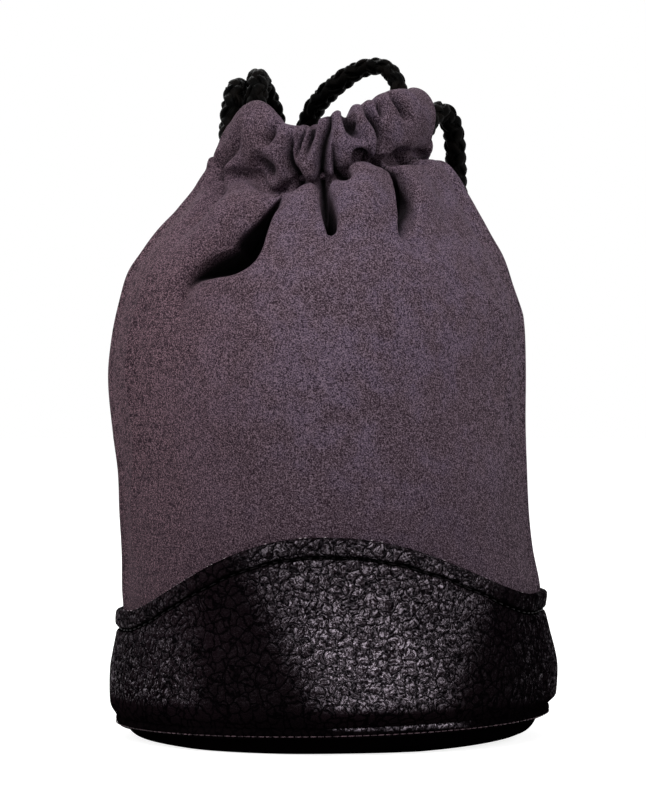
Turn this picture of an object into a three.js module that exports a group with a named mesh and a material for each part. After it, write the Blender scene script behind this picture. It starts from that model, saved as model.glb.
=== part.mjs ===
// A soft round drawstring pouch: a suede body on a grained leather foot, gathered at the neck by two cords.
// Millimetres, +Z up, the front at -Y. The origin is on the floor, under the middle of the foot.
import * as THREE from 'three';

// Fits between neighbouring pieces
const clearance = 0.3;

// Skins and padding
const suedeThickness = 1.2;
const leatherThickness = 1.1;
const wallFoamThickness = 2;
const liningThickness = 0.6;

// Body
const bellyRadius = 49;
const pinchHeight = 132;
const frontHalfTurn = 76 * THREE.MathUtils.DEG2RAD;
const seamGap = 0.3;
const foldDepth = 4.5;

// Leather foot
const archHeight = 48;
const archSideHeight = 31;
const archHalfTurn = 72 * THREE.MathUtils.DEG2RAD;
const archTilt = 1.6;
const hemDepth = 4.5;

// Base
const pipingThickness = 3;
const pipingHeight = 5.6;
const bottomThickness = 1.4;
const bottomRounding = 4.5;
const boardThickness = 2;
const baseFoamThickness = 5;

// Cord channel at the neck
const channelHeight = 15;
const channelEase = 0.8;
const channelLift = 6;
const frontChannelHalfTurn = 80 * THREE.MathUtils.DEG2RAD;
const backChannelHalfTurn = 58 * THREE.MathUtils.DEG2RAD;

// Cords and knots
const cordDiameter = 5;
const cordSides = 8;
const knotRadius = 6.8;
const knotHeight = 16;
const knotTopRadius = 5.3;

// Counts of the mesh
const frontColumns = 18;
const backColumns = 24;
const footRows = 3;
const hemRows = 1;
const wallRows = 9;
const channelRows = 12;
const channelBackColumns = 14;
const roundSegments = 32;

const hemRow = footRows + hemRows;
const pinchRow = hemRow + wallRows;
const foamRow = pinchRow - 4;

// The body's outline: height from base seam to neck, radius against the belly, and sideways lean
const outlineShares = [
  [0, 1.016, 0],
  [0.045, 1.037, 0],
  [0.1, 1.024, 0],
  [0.15, 0.998, -0.005],
  [0.21, 1, -0.006],
  [0.36, 0.978, -0.039],
  [0.51, 0.988, -0.061],
  [0.63, 1.004, -0.073],
  [0.71, 0.99, -0.069],
  [0.79, 0.94, -0.065],
  [0.86, 0.845, -0.055],
  [0.93, 0.722, -0.031],
  [1, 0.466, -0.029],
];

// The channel round the neck, by share of a half turn from the front: lift and height
const channelShares = [
  [-1, -0.17, 1],
  [-0.6, -0.17, 1],
  [-0.42, -0.17, 0.97],
  [-0.26, -0.33, 1.1],
  [-0.16, -0.9, 1.08],
  [-0.07, -0.83, 0.92],
  [0, -0.58, 1.02],
  [0.08, 0, 0.96],
  [0.21, 0, 1.17],
  [0.33, 0.17, 1.03],
  [0.42, 0.33, 0.85],
  [0.6, -0.17, 1],
  [1, -0.17, 1],
];

// The gathers, by share of a half turn: place, depth, width and the height where each one starts
const foldShares = [
  [-0.17, 1, 0.05, 0.72],
  [0, 0.8, 0.03, 0.86],
  [0.15, 0.95, 0.035, 0.84],
  [0.27, 0.35, 0.03, 0.9],
  [-0.33, 0.45, 0.035, 0.88],
  [0.52, 0.5, 0.035, 0.84],
  [0.63, 0.65, 0.035, 0.82],
  [0.74, 0.5, 0.035, 0.86],
  [0.86, 0.7, 0.035, 0.8],
  [0.98, 0.55, 0.035, 0.84],
  [-0.9, 0.7, 0.035, 0.82],
  [-0.79, 0.5, 0.035, 0.86],
  [-0.68, 0.65, 0.035, 0.82],
  [-0.54, 0.5, 0.035, 0.84],
];
const foldFullShare = 0.94;
const foldAtPinchShare = 0.35;

// Smooth values of a table's columns at one place
function tableAt(table, place) {
  const last = table.length - 1;
  let i = 0;
  while (i < last - 1 && place > table[i + 1][0]) i += 1;
  const from = table[i];
  const to = table[i + 1];
  const before = table[Math.max(i - 1, 0)];
  const after = table[Math.min(i + 2, last)];
  const step = to[0] - from[0];
  const t = THREE.MathUtils.clamp((place - from[0]) / step, 0, 1);
  return from.slice(1).map((value, k) => {
    const next = to[k + 1];
    const slopeIn = ((next - before[k + 1]) / (to[0] - before[0])) * step;
    const slopeOut = ((after[k + 1] - value) / (after[0] - from[0])) * step;
    const square = t * t;
    const cube = square * t;
    return (2 * cube - 3 * square + 1) * value + (cube - 2 * square + t) * slopeIn
      + (3 * square - 2 * cube) * next + (cube - square) * slopeOut;
  });
}

// A turn is the angle round the pouch from its front, towards +X
function halfTurnShare(turn) {
  const wrapped = Math.atan2(Math.sin(turn), Math.cos(turn));
  return wrapped / Math.PI;
}

const seamHeight = pipingHeight + pipingThickness / 2 + clearance;

function pinchAt(turn) {
  return pinchHeight + channelLift * tableAt(channelShares, halfTurnShare(turn))[0];
}

function channelHeightAt(turn) {
  return channelHeight * tableAt(channelShares, halfTurnShare(turn))[1];
}

function archTopAt(turn) {
  const fromFront = Math.PI * Math.abs(halfTurnShare(turn));
  const fromMiddle = Math.min(fromFront, Math.PI - fromFront);
  const rise = Math.min(fromMiddle / archHalfTurn, 1);
  const level = archSideHeight + (archHeight - archSideHeight) * (1 + Math.cos(Math.PI * rise)) / 2;
  return level + archTilt * Math.sin(turn) * rise;
}

// How deep the gathers press in at one place
function foldAt(turn, height) {
  const here = halfTurnShare(turn);
  let depth = 0;
  for (const [place, deep, width, start] of foldShares) {
    const away = Math.atan2(Math.sin((here - place) * Math.PI), Math.cos((here - place) * Math.PI)) / Math.PI;
    const grown = THREE.MathUtils.smoothstep(height, start, foldFullShare);
    depth += deep * grown * Math.exp(-((away / width) ** 2));
  }
  const left = THREE.MathUtils.smoothstep(height, foldFullShare, 1) * (1 - foldAtPinchShare);
  return foldDepth * depth * (1 - left);
}

// The suede's outer face, moved in by a depth
function wallPoint(turn, z, depth) {
  const height = (z - seamHeight) / (pinchAt(turn) - seamHeight);
  const [radius, lean] = tableAt(outlineShares, height);
  const out = bellyRadius * radius - foldAt(turn, height) - depth;
  return new THREE.Vector3(bellyRadius * lean + out * Math.sin(turn), -out * Math.cos(turn), z);
}

// The heights of the rows that every layer of the wall shares
function rowHeight(turn, row) {
  const top = archTopAt(turn);
  const hem = top - hemDepth;
  if (row <= footRows) return seamHeight + (hem - seamHeight) * (row / footRows);
  if (row <= hemRow) return hem + hemDepth * ((row - footRows) / hemRows);
  const t = (row - hemRow) / wallRows;
  const crowded = t + 0.35 * t * (1 - t);
  return top + (pinchAt(turn) - clearance - top) * crowded;
}

// A closed solid between two faces that share one grid
function sheetSolid(columns, rows, outer, inner) {
  const points = [];
  for (const face of [outer, inner]) {
    for (let i = 0; i <= columns; i += 1) {
      for (let j = 0; j <= rows; j += 1) points.push(face(i / columns, j));
    }
  }
  const faceSize = (columns + 1) * (rows + 1);
  const at = (face, i, j) => face * faceSize + i * (rows + 1) + j;
  const index = [];
  const quad = (a, b, c, d) => index.push(a, b, c, a, c, d);
  for (let i = 0; i < columns; i += 1) {
    for (let j = 0; j < rows; j += 1) {
      quad(at(0, i, j), at(0, i + 1, j), at(0, i + 1, j + 1), at(0, i, j + 1));
      quad(at(1, i, j), at(1, i, j + 1), at(1, i + 1, j + 1), at(1, i + 1, j));
    }
    quad(at(0, i, 0), at(1, i, 0), at(1, i + 1, 0), at(0, i + 1, 0));
    quad(at(0, i, rows), at(0, i + 1, rows), at(1, i + 1, rows), at(1, i, rows));
  }
  for (let j = 0; j < rows; j += 1) {
    quad(at(0, 0, j), at(0, 0, j + 1), at(1, 0, j + 1), at(1, 0, j));
    quad(at(0, columns, j), at(1, columns, j), at(1, columns, j + 1), at(0, columns, j + 1));
  }
  const geometry = new THREE.BufferGeometry().setFromPoints(points);
  geometry.setIndex(index);
  geometry.computeVertexNormals();
  return geometry;
}

// The turn range of a panel, less half the seam gap at each edge
const seamTrim = seamGap / 2 / bellyRadius;
const frontPanel = { from: -frontHalfTurn + seamTrim, to: frontHalfTurn - seamTrim, columns: frontColumns };
const backPanel = {
  from: frontHalfTurn + seamTrim,
  to: 2 * Math.PI - frontHalfTurn - seamTrim,
  columns: backColumns,
};

function turnOf(panel, share) {
  return panel.from + (panel.to - panel.from) * share;
}

// One layer of a panel's wall, between two rows and two depths
function wallLayer(panel, firstRow, lastRow, outerDepth, innerDepth) {
  const face = (depth) => (share, j) => {
    const turn = turnOf(panel, share);
    const row = firstRow + j;
    return wallPoint(turn, rowHeight(turn, row), depth(row));
  };
  return sheetSolid(panel.columns, lastRow - firstRow, face(outerDepth), face(innerDepth));
}

const foamFace = suedeThickness + clearance;
const liningUnderFoam = foamFace + wallFoamThickness + clearance;
const liningFace = (row) => (row <= foamRow ? liningUnderFoam : foamFace);

function leatherWall(panel) {
  return wallLayer(panel, 0, hemRow, () => -clearance - leatherThickness, () => -clearance);
}

function suedeWall(panel) {
  return wallLayer(panel, footRows, pinchRow, () => 0, () => suedeThickness);
}

function foamWall(panel) {
  return wallLayer(panel, 0, foamRow, () => foamFace, () => foamFace + wallFoamThickness);
}

function liningWall(panel) {
  return wallLayer(panel, 0, pinchRow, liningFace, (row) => liningFace(row) + liningThickness);
}

// The cord channel: the panel's top turned over inward, an open ring in section, round the cord
const channelHalfWidth = cordDiameter / 2 + channelEase + suedeThickness / 2;
const channelStart = -95 * THREE.MathUtils.DEG2RAD;
const channelEnd = 240 * THREE.MathUtils.DEG2RAD;
const [neckShare, neckLeanShare] = tableAt(outlineShares, 1);
const neckLean = bellyRadius * neckLeanShare;

function channelPoint(turn, out, up) {
  const radius = bellyRadius * neckShare - suedeThickness / 2 - foldAt(turn, 1) + out;
  const z = pinchAt(turn) + channelHeightAt(turn) / 2 + up;
  return new THREE.Vector3(neckLean + radius * Math.sin(turn), -radius * Math.cos(turn), z);
}

function channelSolid(from, to, columns) {
  const face = (offset) => (share, j) => {
    const turn = from + (to - from) * share;
    const round = channelStart + (channelEnd - channelStart) * (j / channelRows);
    const high = channelHeightAt(turn) / 2 - suedeThickness / 2;
    const normal = new THREE.Vector2(high * Math.cos(round), channelHalfWidth * Math.sin(round)).normalize();
    const out = channelHalfWidth * Math.cos(round) + normal.x * offset;
    const up = high * Math.sin(round) + normal.y * offset;
    return channelPoint(turn, out, up);
  };
  return sheetSolid(columns, channelRows, face(suedeThickness / 2), face(-suedeThickness / 2));
}

// A round cord along a list of points
function cordSolid(points) {
  const section = new THREE.Shape(Array.from({ length: cordSides }, (_, k) => {
    const round = (2 * Math.PI * k) / cordSides;
    return new THREE.Vector2(Math.cos(round), Math.sin(round)).multiplyScalar(cordDiameter / 2);
  }));
  const path = new THREE.CatmullRomCurve3(points);
  const steps = Math.ceil(path.getLength() / (2 * cordDiameter));
  return new THREE.ExtrudeGeometry(section, { steps: 2 * steps, bevelEnabled: false, extrudePath: path });
}

function channelRun(from, to, columns) {
  const points = [];
  for (let i = 0; i <= columns; i += 1) points.push(channelPoint(from + (to - from) * (i / columns), 0, 0));
  return cordSolid(points);
}

// The routes of the free strands, each from its end of the channel over the back to its knot
const leftStrandFrontRoute = [
  [-23.5, -3.1, 138.3], [-23.8, -0.9, 138.7], [-24.1, 1.8, 140.1], [-24.1, 4, 142.3], [-23.9, 5.7, 145.5],
  [-23.5, 7.5, 148.8], [-23, 10.2, 151.3], [-22.5, 13.6, 152.5], [-21.9, 17.5, 151.6], [-21.3, 21.2, 148.2],
  [-21, 24, 143], [-20.9, 26.1, 137], [-21.2, 28.7, 131], [-21.6, 33, 124.5], [-22, 39, 116.5],
  [-21.8, 44.6, 108], [-21.3, 47.6, 99], [-20.8, 49.4, 89], [-20.3, 50.8, 80], [-19.5, 53, 72.5],
  [-19.3, 53.4, 69.5], [-19.3, 53.5, 66.3],
];
const leftStrandBackRoute = [
  [-20.1, 10.4, 138.5], [-20.3, 7.9, 138.7], [-19.6, 5.1, 139.4], [-18.6, 3, 141.3], [-18, 1.9, 144.2],
  [-17.8, 2, 147.4], [-17.7, 3.6, 150.5], [-17.7, 6.5, 153], [-17.7, 10.4, 154.4], [-17.3, 15, 154.3],
  [-16.1, 19.4, 152.1], [-14.4, 23.4, 148.2], [-13.4, 26.4, 142.8], [-13.6, 29, 137], [-14.7, 32, 131],
  [-15, 36, 125], [-15.2, 41.6, 117], [-15.2, 46.6, 108], [-15, 49.5, 99], [-14.6, 51.1, 89],
  [-14.4, 51.9, 81], [-14, 53, 72.5], [-13.9, 53.4, 69.5], [-13.9, 53.5, 66.3],
];
const rightStrandBackRoute = [
  [17.9, 10, 138.3], [18.1, 7.8, 138.6], [17.3, 5.4, 139.6], [16.4, 3.7, 141.8], [16, 3, 144.8],
  [15.9, 3.6, 148.3], [15.6, 5.4, 151.8], [14.5, 8, 154.9], [12.4, 10.8, 157.1], [9.3, 13.4, 157.7],
  [5.4, 16, 156.6], [1.3, 18.8, 154], [-2.6, 22.3, 150.7], [-5.3, 26.2, 146.8], [-6.6, 29.2, 141.8],
  [-6.8, 31, 136], [-6.6, 33.8, 130], [-6, 38.9, 123.5], [-5, 44.1, 116], [-4, 48.1, 108],
  [-3, 50.6, 99], [-1.9, 52, 89], [-0.9, 52.8, 80], [0.9, 54.3, 72.5], [1.25, 54.9, 69.5], [1.3, 55, 66.3],
];
const rightStrandFrontRoute = [
  [20.6, -2.9, 140], [20.9, -0.3, 140.5], [21.6, 2.3, 142], [22.6, 4.6, 144], [24, 7, 145.7],
  [25.6, 9.6, 146.5], [27.2, 12.2, 145.8], [28.5, 14.4, 143.6], [29.2, 16, 140.4], [29.5, 17.3, 136.8],
  [29.7, 18.8, 133], [29.9, 20.9, 129], [30.1, 24, 124], [29.8, 30, 117], [27.7, 37.4, 108.5],
  [24.2, 43, 100.5], [19.6, 47.1, 92], [14.8, 50.2, 85], [10.6, 52.3, 79], [7.6, 54.2, 73],
  [6.8, 54.9, 69.5], [6.7, 55, 66.3],
];

function routePoints(route) {
  return route.map(([x, y, z]) => new THREE.Vector3(x, y, z));
}

// The knot of two strands, a barrel under their ends
function knotSolid() {
  const half = knotHeight / 2;
  const side = new THREE.SplineCurve([
    new THREE.Vector2(knotTopRadius, half),
    new THREE.Vector2(knotRadius, 0),
    new THREE.Vector2(knotTopRadius, -half),
  ]).getPoints(cordSides);
  const profile = [new THREE.Vector2(0, half), ...side, new THREE.Vector2(0, -half)].reverse();
  return new THREE.LatheGeometry(profile, cordSides + cordSides / 2).rotateX(Math.PI / 2);
}

function knotPlace(routeA, routeB) {
  const ends = [routeA.at(-1), routeB.at(-1)].map(([x, y, z]) => new THREE.Vector3(x, y, z));
  const middle = ends[0].add(ends[1]).divideScalar(2);
  middle.z -= knotHeight / 2 + clearance;
  return middle;
}

// Round pieces of the base
function discSolid(radius, bottom, thickness) {
  const disc = new THREE.CylinderGeometry(radius, radius, thickness, roundSegments);
  return disc.rotateX(Math.PI / 2).translate(0, 0, bottom + thickness / 2);
}

const pipingRadius = bellyRadius * outlineShares[0][1];
const rimRadius = pipingRadius - pipingThickness / 2 - clearance;
const undersideRadius = rimRadius - bottomRounding;

function pipingSolid() {
  const ring = new THREE.TorusGeometry(pipingRadius, pipingThickness / 2, cordSides, roundSegments);
  return ring.translate(0, 0, pipingHeight);
}

function bottomSolid() {
  const rimTop = seamHeight - clearance;
  const corner = new THREE.Path();
  corner.absarc(undersideRadius, bottomRounding, bottomRounding, -Math.PI / 2, 0, false);
  const insideCorner = new THREE.Path();
  insideCorner.absarc(undersideRadius, bottomRounding, bottomRounding - bottomThickness, 0, -Math.PI / 2, true);
  const arcSteps = 3;
  const profile = [
    new THREE.Vector2(0, 0),
    ...corner.getPoints(arcSteps),
    new THREE.Vector2(rimRadius, rimTop),
    new THREE.Vector2(rimRadius - bottomThickness, rimTop),
    ...insideCorner.getPoints(arcSteps),
    new THREE.Vector2(0, bottomThickness),
  ];
  return new THREE.LatheGeometry(profile, roundSegments).rotateX(Math.PI / 2);
}

const boardBottom = bottomThickness + clearance;
const baseFoamBottom = boardBottom + boardThickness + clearance;
const baseLiningBottom = baseFoamBottom + baseFoamThickness + clearance;
const baseLiningRadius = pipingRadius - liningUnderFoam - liningThickness - clearance;

// Finishes
const suede = { color: 0x4f414c, roughness: 0.95, metalness: 0 };
const leather = { color: 0x2e272b, roughness: 0.45, metalness: 0 };
const foam = { color: 0x8d8a86, roughness: 0.9, metalness: 0 };
const lining = { color: 0x24222a, roughness: 0.8, metalness: 0 };
const board = { color: 0x7a6a54, roughness: 0.85, metalness: 0 };
const braid = { color: 0x0d0c0d, roughness: 0.5, metalness: 0 };

const pouch = new THREE.Group();

function addPiece(name, geometry, finish, place) {
  const mesh = new THREE.Mesh(geometry, new THREE.MeshStandardMaterial(finish));
  mesh.name = name;
  if (place) mesh.position.copy(place);
  pouch.add(mesh);
}

addPiece('bottom_panel', bottomSolid(), leather);
addPiece('base_piping', pipingSolid(), leather);
addPiece('base_board', discSolid(undersideRadius, boardBottom, boardThickness), board);
addPiece('base_foam', discSolid(undersideRadius, baseFoamBottom, baseFoamThickness), foam);
addPiece('base_lining', discSolid(baseLiningRadius, baseLiningBottom, liningThickness), lining);

for (const [side, panel] of Object.entries({ front: frontPanel, back: backPanel })) {
  addPiece(`leather_foot_${side}`, leatherWall(panel), leather);
  addPiece(`suede_${side}`, suedeWall(panel), suede);
  addPiece(`wall_padding_${side}`, foamWall(panel), foam);
  addPiece(`lining_${side}`, liningWall(panel), lining);
}

const backChannelFrom = Math.PI - backChannelHalfTurn;
const backChannelTo = Math.PI + backChannelHalfTurn;
addPiece('cord_channel_front', channelSolid(-frontChannelHalfTurn, frontChannelHalfTurn, frontColumns), suede);
addPiece('cord_channel_back', channelSolid(backChannelFrom, backChannelTo, channelBackColumns), suede);
addPiece('front_drawcord_run', channelRun(-frontChannelHalfTurn, frontChannelHalfTurn, frontColumns), braid);
addPiece('back_drawcord_run', channelRun(backChannelFrom, backChannelTo, channelBackColumns), braid);

const strands = {
  left_strand_front: leftStrandFrontRoute,
  left_strand_back: leftStrandBackRoute,
  right_strand_front: rightStrandFrontRoute,
  right_strand_back: rightStrandBackRoute,
};
for (const [name, route] of Object.entries(strands)) addPiece(name, cordSolid(routePoints(route)), braid);
addPiece('left_knot', knotSolid(), braid, knotPlace(leftStrandFrontRoute, leftStrandBackRoute));
addPiece('right_knot', knotSolid(), braid, knotPlace(rightStrandFrontRoute, rightStrandBackRoute));

export default pouch;
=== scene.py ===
import math

import bpy
import numpy as np
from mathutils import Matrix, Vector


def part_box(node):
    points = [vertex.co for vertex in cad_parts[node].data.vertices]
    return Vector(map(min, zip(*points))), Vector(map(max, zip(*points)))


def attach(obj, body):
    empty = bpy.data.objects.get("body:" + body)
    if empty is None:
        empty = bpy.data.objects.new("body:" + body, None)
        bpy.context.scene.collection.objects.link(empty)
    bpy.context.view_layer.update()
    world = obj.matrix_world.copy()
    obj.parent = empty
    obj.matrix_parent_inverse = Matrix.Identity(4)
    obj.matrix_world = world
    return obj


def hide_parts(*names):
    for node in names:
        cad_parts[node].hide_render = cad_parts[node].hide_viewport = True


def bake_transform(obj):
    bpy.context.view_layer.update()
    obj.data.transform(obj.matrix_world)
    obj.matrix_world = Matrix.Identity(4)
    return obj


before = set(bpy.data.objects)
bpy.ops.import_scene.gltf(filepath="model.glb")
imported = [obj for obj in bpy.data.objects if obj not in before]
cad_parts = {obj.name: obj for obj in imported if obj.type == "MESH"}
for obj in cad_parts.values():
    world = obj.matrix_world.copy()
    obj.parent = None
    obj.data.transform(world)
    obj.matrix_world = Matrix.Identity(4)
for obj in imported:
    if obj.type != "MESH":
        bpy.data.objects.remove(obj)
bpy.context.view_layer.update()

scene = bpy.context.scene
scene.view_settings.view_transform = "Standard"

# View, light and floor
# The pouch stands alone on a white floor. A long lens looks level at its middle from the front,
# and large soft boxes light it from the front and above.
MM = 0.001
focal_pixels = 3416
picture_height = 800
picture_middle_row = 400
middle_column = 332.5
camera_distance = 800
camera_height = 78.3
camera_sideways = -2.2
sensor_width = 36
floor_half_width = 6
floor_drop = 0.1
floor_glow = 0.85
sky_light = 0.42
low_sky_light = 0.03


class Wire:
    """A socket of a shader's nodes, so that sums on values are written as plain sums."""

    def __init__(self, tree, socket=None):
        self.tree = tree
        self.socket = socket

    def node(self, kind, settings=None, sockets=None, out=0):
        made = self.tree.nodes.new(kind)
        for name, value in (settings or {}).items():
            setattr(made, name, value)
        for name, value in (sockets or {}).items():
            if isinstance(value, Wire):
                self.tree.links.new(value.socket, made.inputs[name])
            else:
                made.inputs[name].default_value = value
        return Wire(self.tree, made.outputs[out])

    def sum(self, operation, first, second, clamp=False):
        settings = {"operation": operation, "use_clamp": clamp}
        return self.node("ShaderNodeMath", settings, {0: first, 1: second})

    def __add__(self, other):
        return self.sum("ADD", self, other)

    def __radd__(self, other):
        return self.sum("ADD", other, self)

    def __sub__(self, other):
        return self.sum("SUBTRACT", self, other)

    def __rsub__(self, other):
        return self.sum("SUBTRACT", other, self)

    def __mul__(self, other):
        return self.sum("MULTIPLY", self, other)

    def __rmul__(self, other):
        return self.sum("MULTIPLY", other, self)

    def __pow__(self, other):
        return self.sum("POWER", self, other)

    def between(self, low, high):
        settings = {"interpolation_type": "SMOOTHSTEP"}
        return self.node("ShaderNodeMapRange", settings, {"Value": self, "From Min": low, "From Max": high})

    def blend(self, first, second):
        settings = {"data_type": "RGBA", "blend_type": "MIX"}
        return self.node("ShaderNodeMix", settings, {0: self, 6: first, 7: second}, out=2)

    def parts(self):
        """How far across, how deep and how high each place is."""
        return [self.node("ShaderNodeSeparateXYZ", sockets={"Vector": self}, out=k) for k in range(3)]

    def moved_by(self, shift):
        return self.node("ShaderNodeVectorMath", {"operation": "ADD"}, {0: self, 1: shift})

    def stretched(self, scale, turn=0.0):
        """Places for a grain that is drawn out along a direction, leaning by a turn in degrees."""
        settings = {"vector_type": "TEXTURE"}
        sockets = {"Vector": self, "Rotation": (0.0, math.radians(turn), 0.0), "Scale": (1.0, 1.0, scale)}
        return self.node("ShaderNodeMapping", settings, sockets)

    def noise(self, scale, detail, roughness=0.5, out=0):
        sockets = {"Vector": self, "Scale": scale, "Detail": detail, "Roughness": roughness}
        return self.node("ShaderNodeTexNoise", sockets=sockets, out=out)

    def cells(self, scale, feature="DISTANCE_TO_EDGE"):
        return self.node("ShaderNodeTexVoronoi", {"feature": feature}, {"Vector": self, "Scale": scale})

    def mark(self, name):
        """A value that is stored at the points of the mesh."""
        return self.node("ShaderNodeAttribute", {"attribute_name": name}, out="Fac")

    def bump(self, strength, distance):
        """The normal of a surface that follows this height."""
        sockets = {"Strength": strength, "Distance": distance, "Height": self}
        return self.node("ShaderNodeBump", sockets=sockets)

    def shader(self, sockets):
        return self.node("ShaderNodeBsdfPrincipled", sockets=sockets)


def seen_colour(red, green, blue):
    """A colour written from 0 to 255 as it is seen, for a shader."""
    levels = [value / 255 for value in (red, green, blue)]
    return (*[v / 12.92 if v <= 0.04045 else ((v + 0.055) / 1.055) ** 2.4 for v in levels], 1)


def new_finish(name):
    """A new material, and a wire that carries the place on the object."""
    made = bpy.data.materials.new(name)
    made.use_nodes = True
    made.node_tree.nodes.clear()
    return made, Wire(made.node_tree).node("ShaderNodeTexCoord", out="Object")


def set_surface(finish, shader):
    output = finish.node_tree.nodes.new("ShaderNodeOutputMaterial")
    finish.node_tree.links.new(shader.socket, output.inputs["Surface"])
    return finish


def seen_or_reflected(start):
    """One for rays from the camera and for those that a glossy or a clear surface sends on."""
    seen, glossy, clear = (
        start.node("ShaderNodeLightPath", out=f"Is {way} Ray") for way in ("Camera", "Glossy", "Transmission")
    )
    return start.sum("ADD", seen + glossy, clear, clamp=True)


def add_object(name, data):
    made = bpy.data.objects.new(name, data)
    scene.collection.objects.link(made)
    return made


lens = bpy.data.cameras.new("photo_camera")
lens.sensor_width = sensor_width
lens.lens = sensor_width * focal_pixels / picture_height
lens.clip_start = 0.01
camera = add_object("photo_camera", lens)
camera.location = (camera_sideways * MM, -camera_distance * MM, camera_height * MM)
camera.rotation_euler = (math.pi / 2, 0, 0)
scene.camera = camera

sky = bpy.data.worlds.new("white_studio")
scene.world = sky
sky.use_nodes = True
sky.node_tree.nodes.clear()
start = Wire(sky.node_tree)
high = start.node("ShaderNodeTexCoord", out="Generated").parts()[2]
lit = low_sky_light + (sky_light - low_sky_light) * high.between(-0.1, 0.8)
strength = lit + (1 - lit) * seen_or_reflected(start)
background = start.node("ShaderNodeBackground", sockets={"Color": (1, 1, 1, 1), "Strength": strength})
output = sky.node_tree.nodes.new("ShaderNodeOutputWorld")
sky.node_tree.links.new(background.socket, output.inputs["Surface"])


def add_soft_box(name, place, aim, size, power):
    lamp = bpy.data.lights.new(name, "AREA")
    lamp.shape = "RECTANGLE"
    lamp.size, lamp.size_y = size
    lamp.energy = power
    made = add_object(name, lamp)
    made.location = place
    ahead = np.subtract(aim, place)
    rise = math.atan2(ahead[2], math.hypot(ahead[0], ahead[1]))
    made.rotation_euler = (math.pi / 2 + rise, 0, math.atan2(-ahead[0], ahead[1]))


pouch_middle = (0, 0, 0.085)
add_soft_box("key_box", (-0.1, -0.8, 1.2), pouch_middle, (0.7, 0.5), 15)
add_soft_box("left_box", (-1.1, -0.55, 0.8), pouch_middle, (0.5, 0.5), 6)
add_soft_box("right_box", (1.1, -0.45, 0.8), pouch_middle, (0.5, 0.5), 5)
add_soft_box("back_box", (-0.3, 1.2, 1.0), pouch_middle, (0.8, 0.6), 7)

floor_mesh = bpy.data.meshes.new("floor")
floor_corners = [
    (across * floor_half_width, deep * floor_half_width, -floor_drop * MM)
    for across, deep in ((-1, -1), (1, -1), (1, 1), (-1, 1))
]
floor_mesh.from_pydata(floor_corners, [], [(0, 1, 2, 3)])
floor_finish, place = new_finish("white_floor")
floor_shader = place.shader({
    "Base Color": (0.55, 0.55, 0.55, 1), "Roughness": 0.9, "Specular IOR Level": 0.0,
    "Emission Color": seen_or_reflected(place) * floor_glow, "Emission Strength": 1.0,
})
floor_mesh.materials.append(set_surface(floor_finish, floor_shader))
add_object("floor", floor_mesh)

# Drawcords
# Two black cords of eight plaited yarns, about 5 mm thick. Each runs through its own channel,
# comes out at both sides of the neck, falls over the back and is knotted to the other cord's end.
yarns_each_way = 4
plait_length = 24
plait_radius = 1.5
plait_wave = 0.45
yarn_half_width = 1.2
yarn_half_thickness = 0.78
yarn_ply_depth = 0.09
yarn_section_points = 12
yarn_step = 0.5

left_strand_front_route = [
    (-23.5, -3.1, 138.3), (-23.8, -0.9, 138.7), (-24.1, 1.8, 140.1), (-24.1, 4, 142.3), (-23.9, 5.7, 145.5),
    (-23.5, 7.5, 148.8), (-23, 10.2, 151.3), (-22.5, 13.6, 152.5), (-21.9, 17.5, 151.6), (-21.3, 21.2, 148.2),
    (-21, 24, 143), (-20.9, 26.1, 137), (-21.2, 28.7, 131), (-21.6, 33, 124.5), (-22, 39, 116.5),
    (-21.8, 44.6, 108), (-21.3, 47.6, 99), (-20.8, 49.4, 89), (-20.3, 50.8, 80), (-19.5, 53, 72.5),
    (-19.3, 53.4, 69.5), (-19.3, 53.5, 66.3),
]
left_strand_back_route = [
    (-20.1, 10.4, 138.5), (-20.3, 7.9, 138.7), (-19.6, 5.1, 139.4), (-18.6, 3, 141.3), (-18, 1.9, 144.2),
    (-17.8, 2, 147.4), (-17.7, 3.6, 150.5), (-17.7, 6.5, 153), (-17.7, 10.4, 154.4), (-17.3, 15, 154.3),
    (-16.1, 19.4, 152.1), (-14.4, 23.4, 148.2), (-13.4, 26.4, 142.8), (-13.6, 29, 137), (-14.7, 32, 131),
    (-15, 36, 125), (-15.2, 41.6, 117), (-15.2, 46.6, 108), (-15, 49.5, 99), (-14.6, 51.1, 89),
    (-14.4, 51.9, 81), (-14, 53, 72.5), (-13.9, 53.4, 69.5), (-13.9, 53.5, 66.3),
]
right_strand_back_route = [
    (17.9, 10, 138.3), (18.1, 7.8, 138.6), (17.3, 5.4, 139.6), (16.4, 3.7, 141.8), (16, 3, 144.8),
    (15.9, 3.6, 148.3), (15.6, 5.4, 151.8), (14.5, 8, 154.9), (12.4, 10.8, 157.1), (9.3, 13.4, 157.7),
    (5.4, 16, 156.6), (1.3, 18.8, 154), (-2.6, 22.3, 150.7), (-5.3, 26.2, 146.8), (-6.6, 29.2, 141.8),
    (-6.8, 31, 136), (-6.6, 33.8, 130), (-6, 38.9, 123.5), (-5, 44.1, 116), (-4, 48.1, 108),
    (-3, 50.6, 99), (-1.9, 52, 89), (-0.9, 52.8, 80), (0.9, 54.3, 72.5), (1.25, 54.9, 69.5), (1.3, 55, 66.3),
]
right_strand_front_route = [
    (20.6, -2.9, 140), (20.9, -0.3, 140.5), (21.6, 2.3, 142), (22.6, 4.6, 144), (24, 7, 145.7),
    (25.6, 9.6, 146.5), (27.2, 12.2, 145.8), (28.5, 14.4, 143.6), (29.2, 16, 140.4), (29.5, 17.3, 136.8),
    (29.7, 18.8, 133), (29.9, 20.9, 129), (30.1, 24, 124), (29.8, 30, 117), (27.7, 37.4, 108.5),
    (24.2, 43, 100.5), (19.6, 47.1, 92), (14.8, 50.2, 85), (10.6, 52.3, 79), (7.6, 54.2, 73),
    (6.8, 54.9, 69.5), (6.7, 55, 66.3),
]


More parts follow.
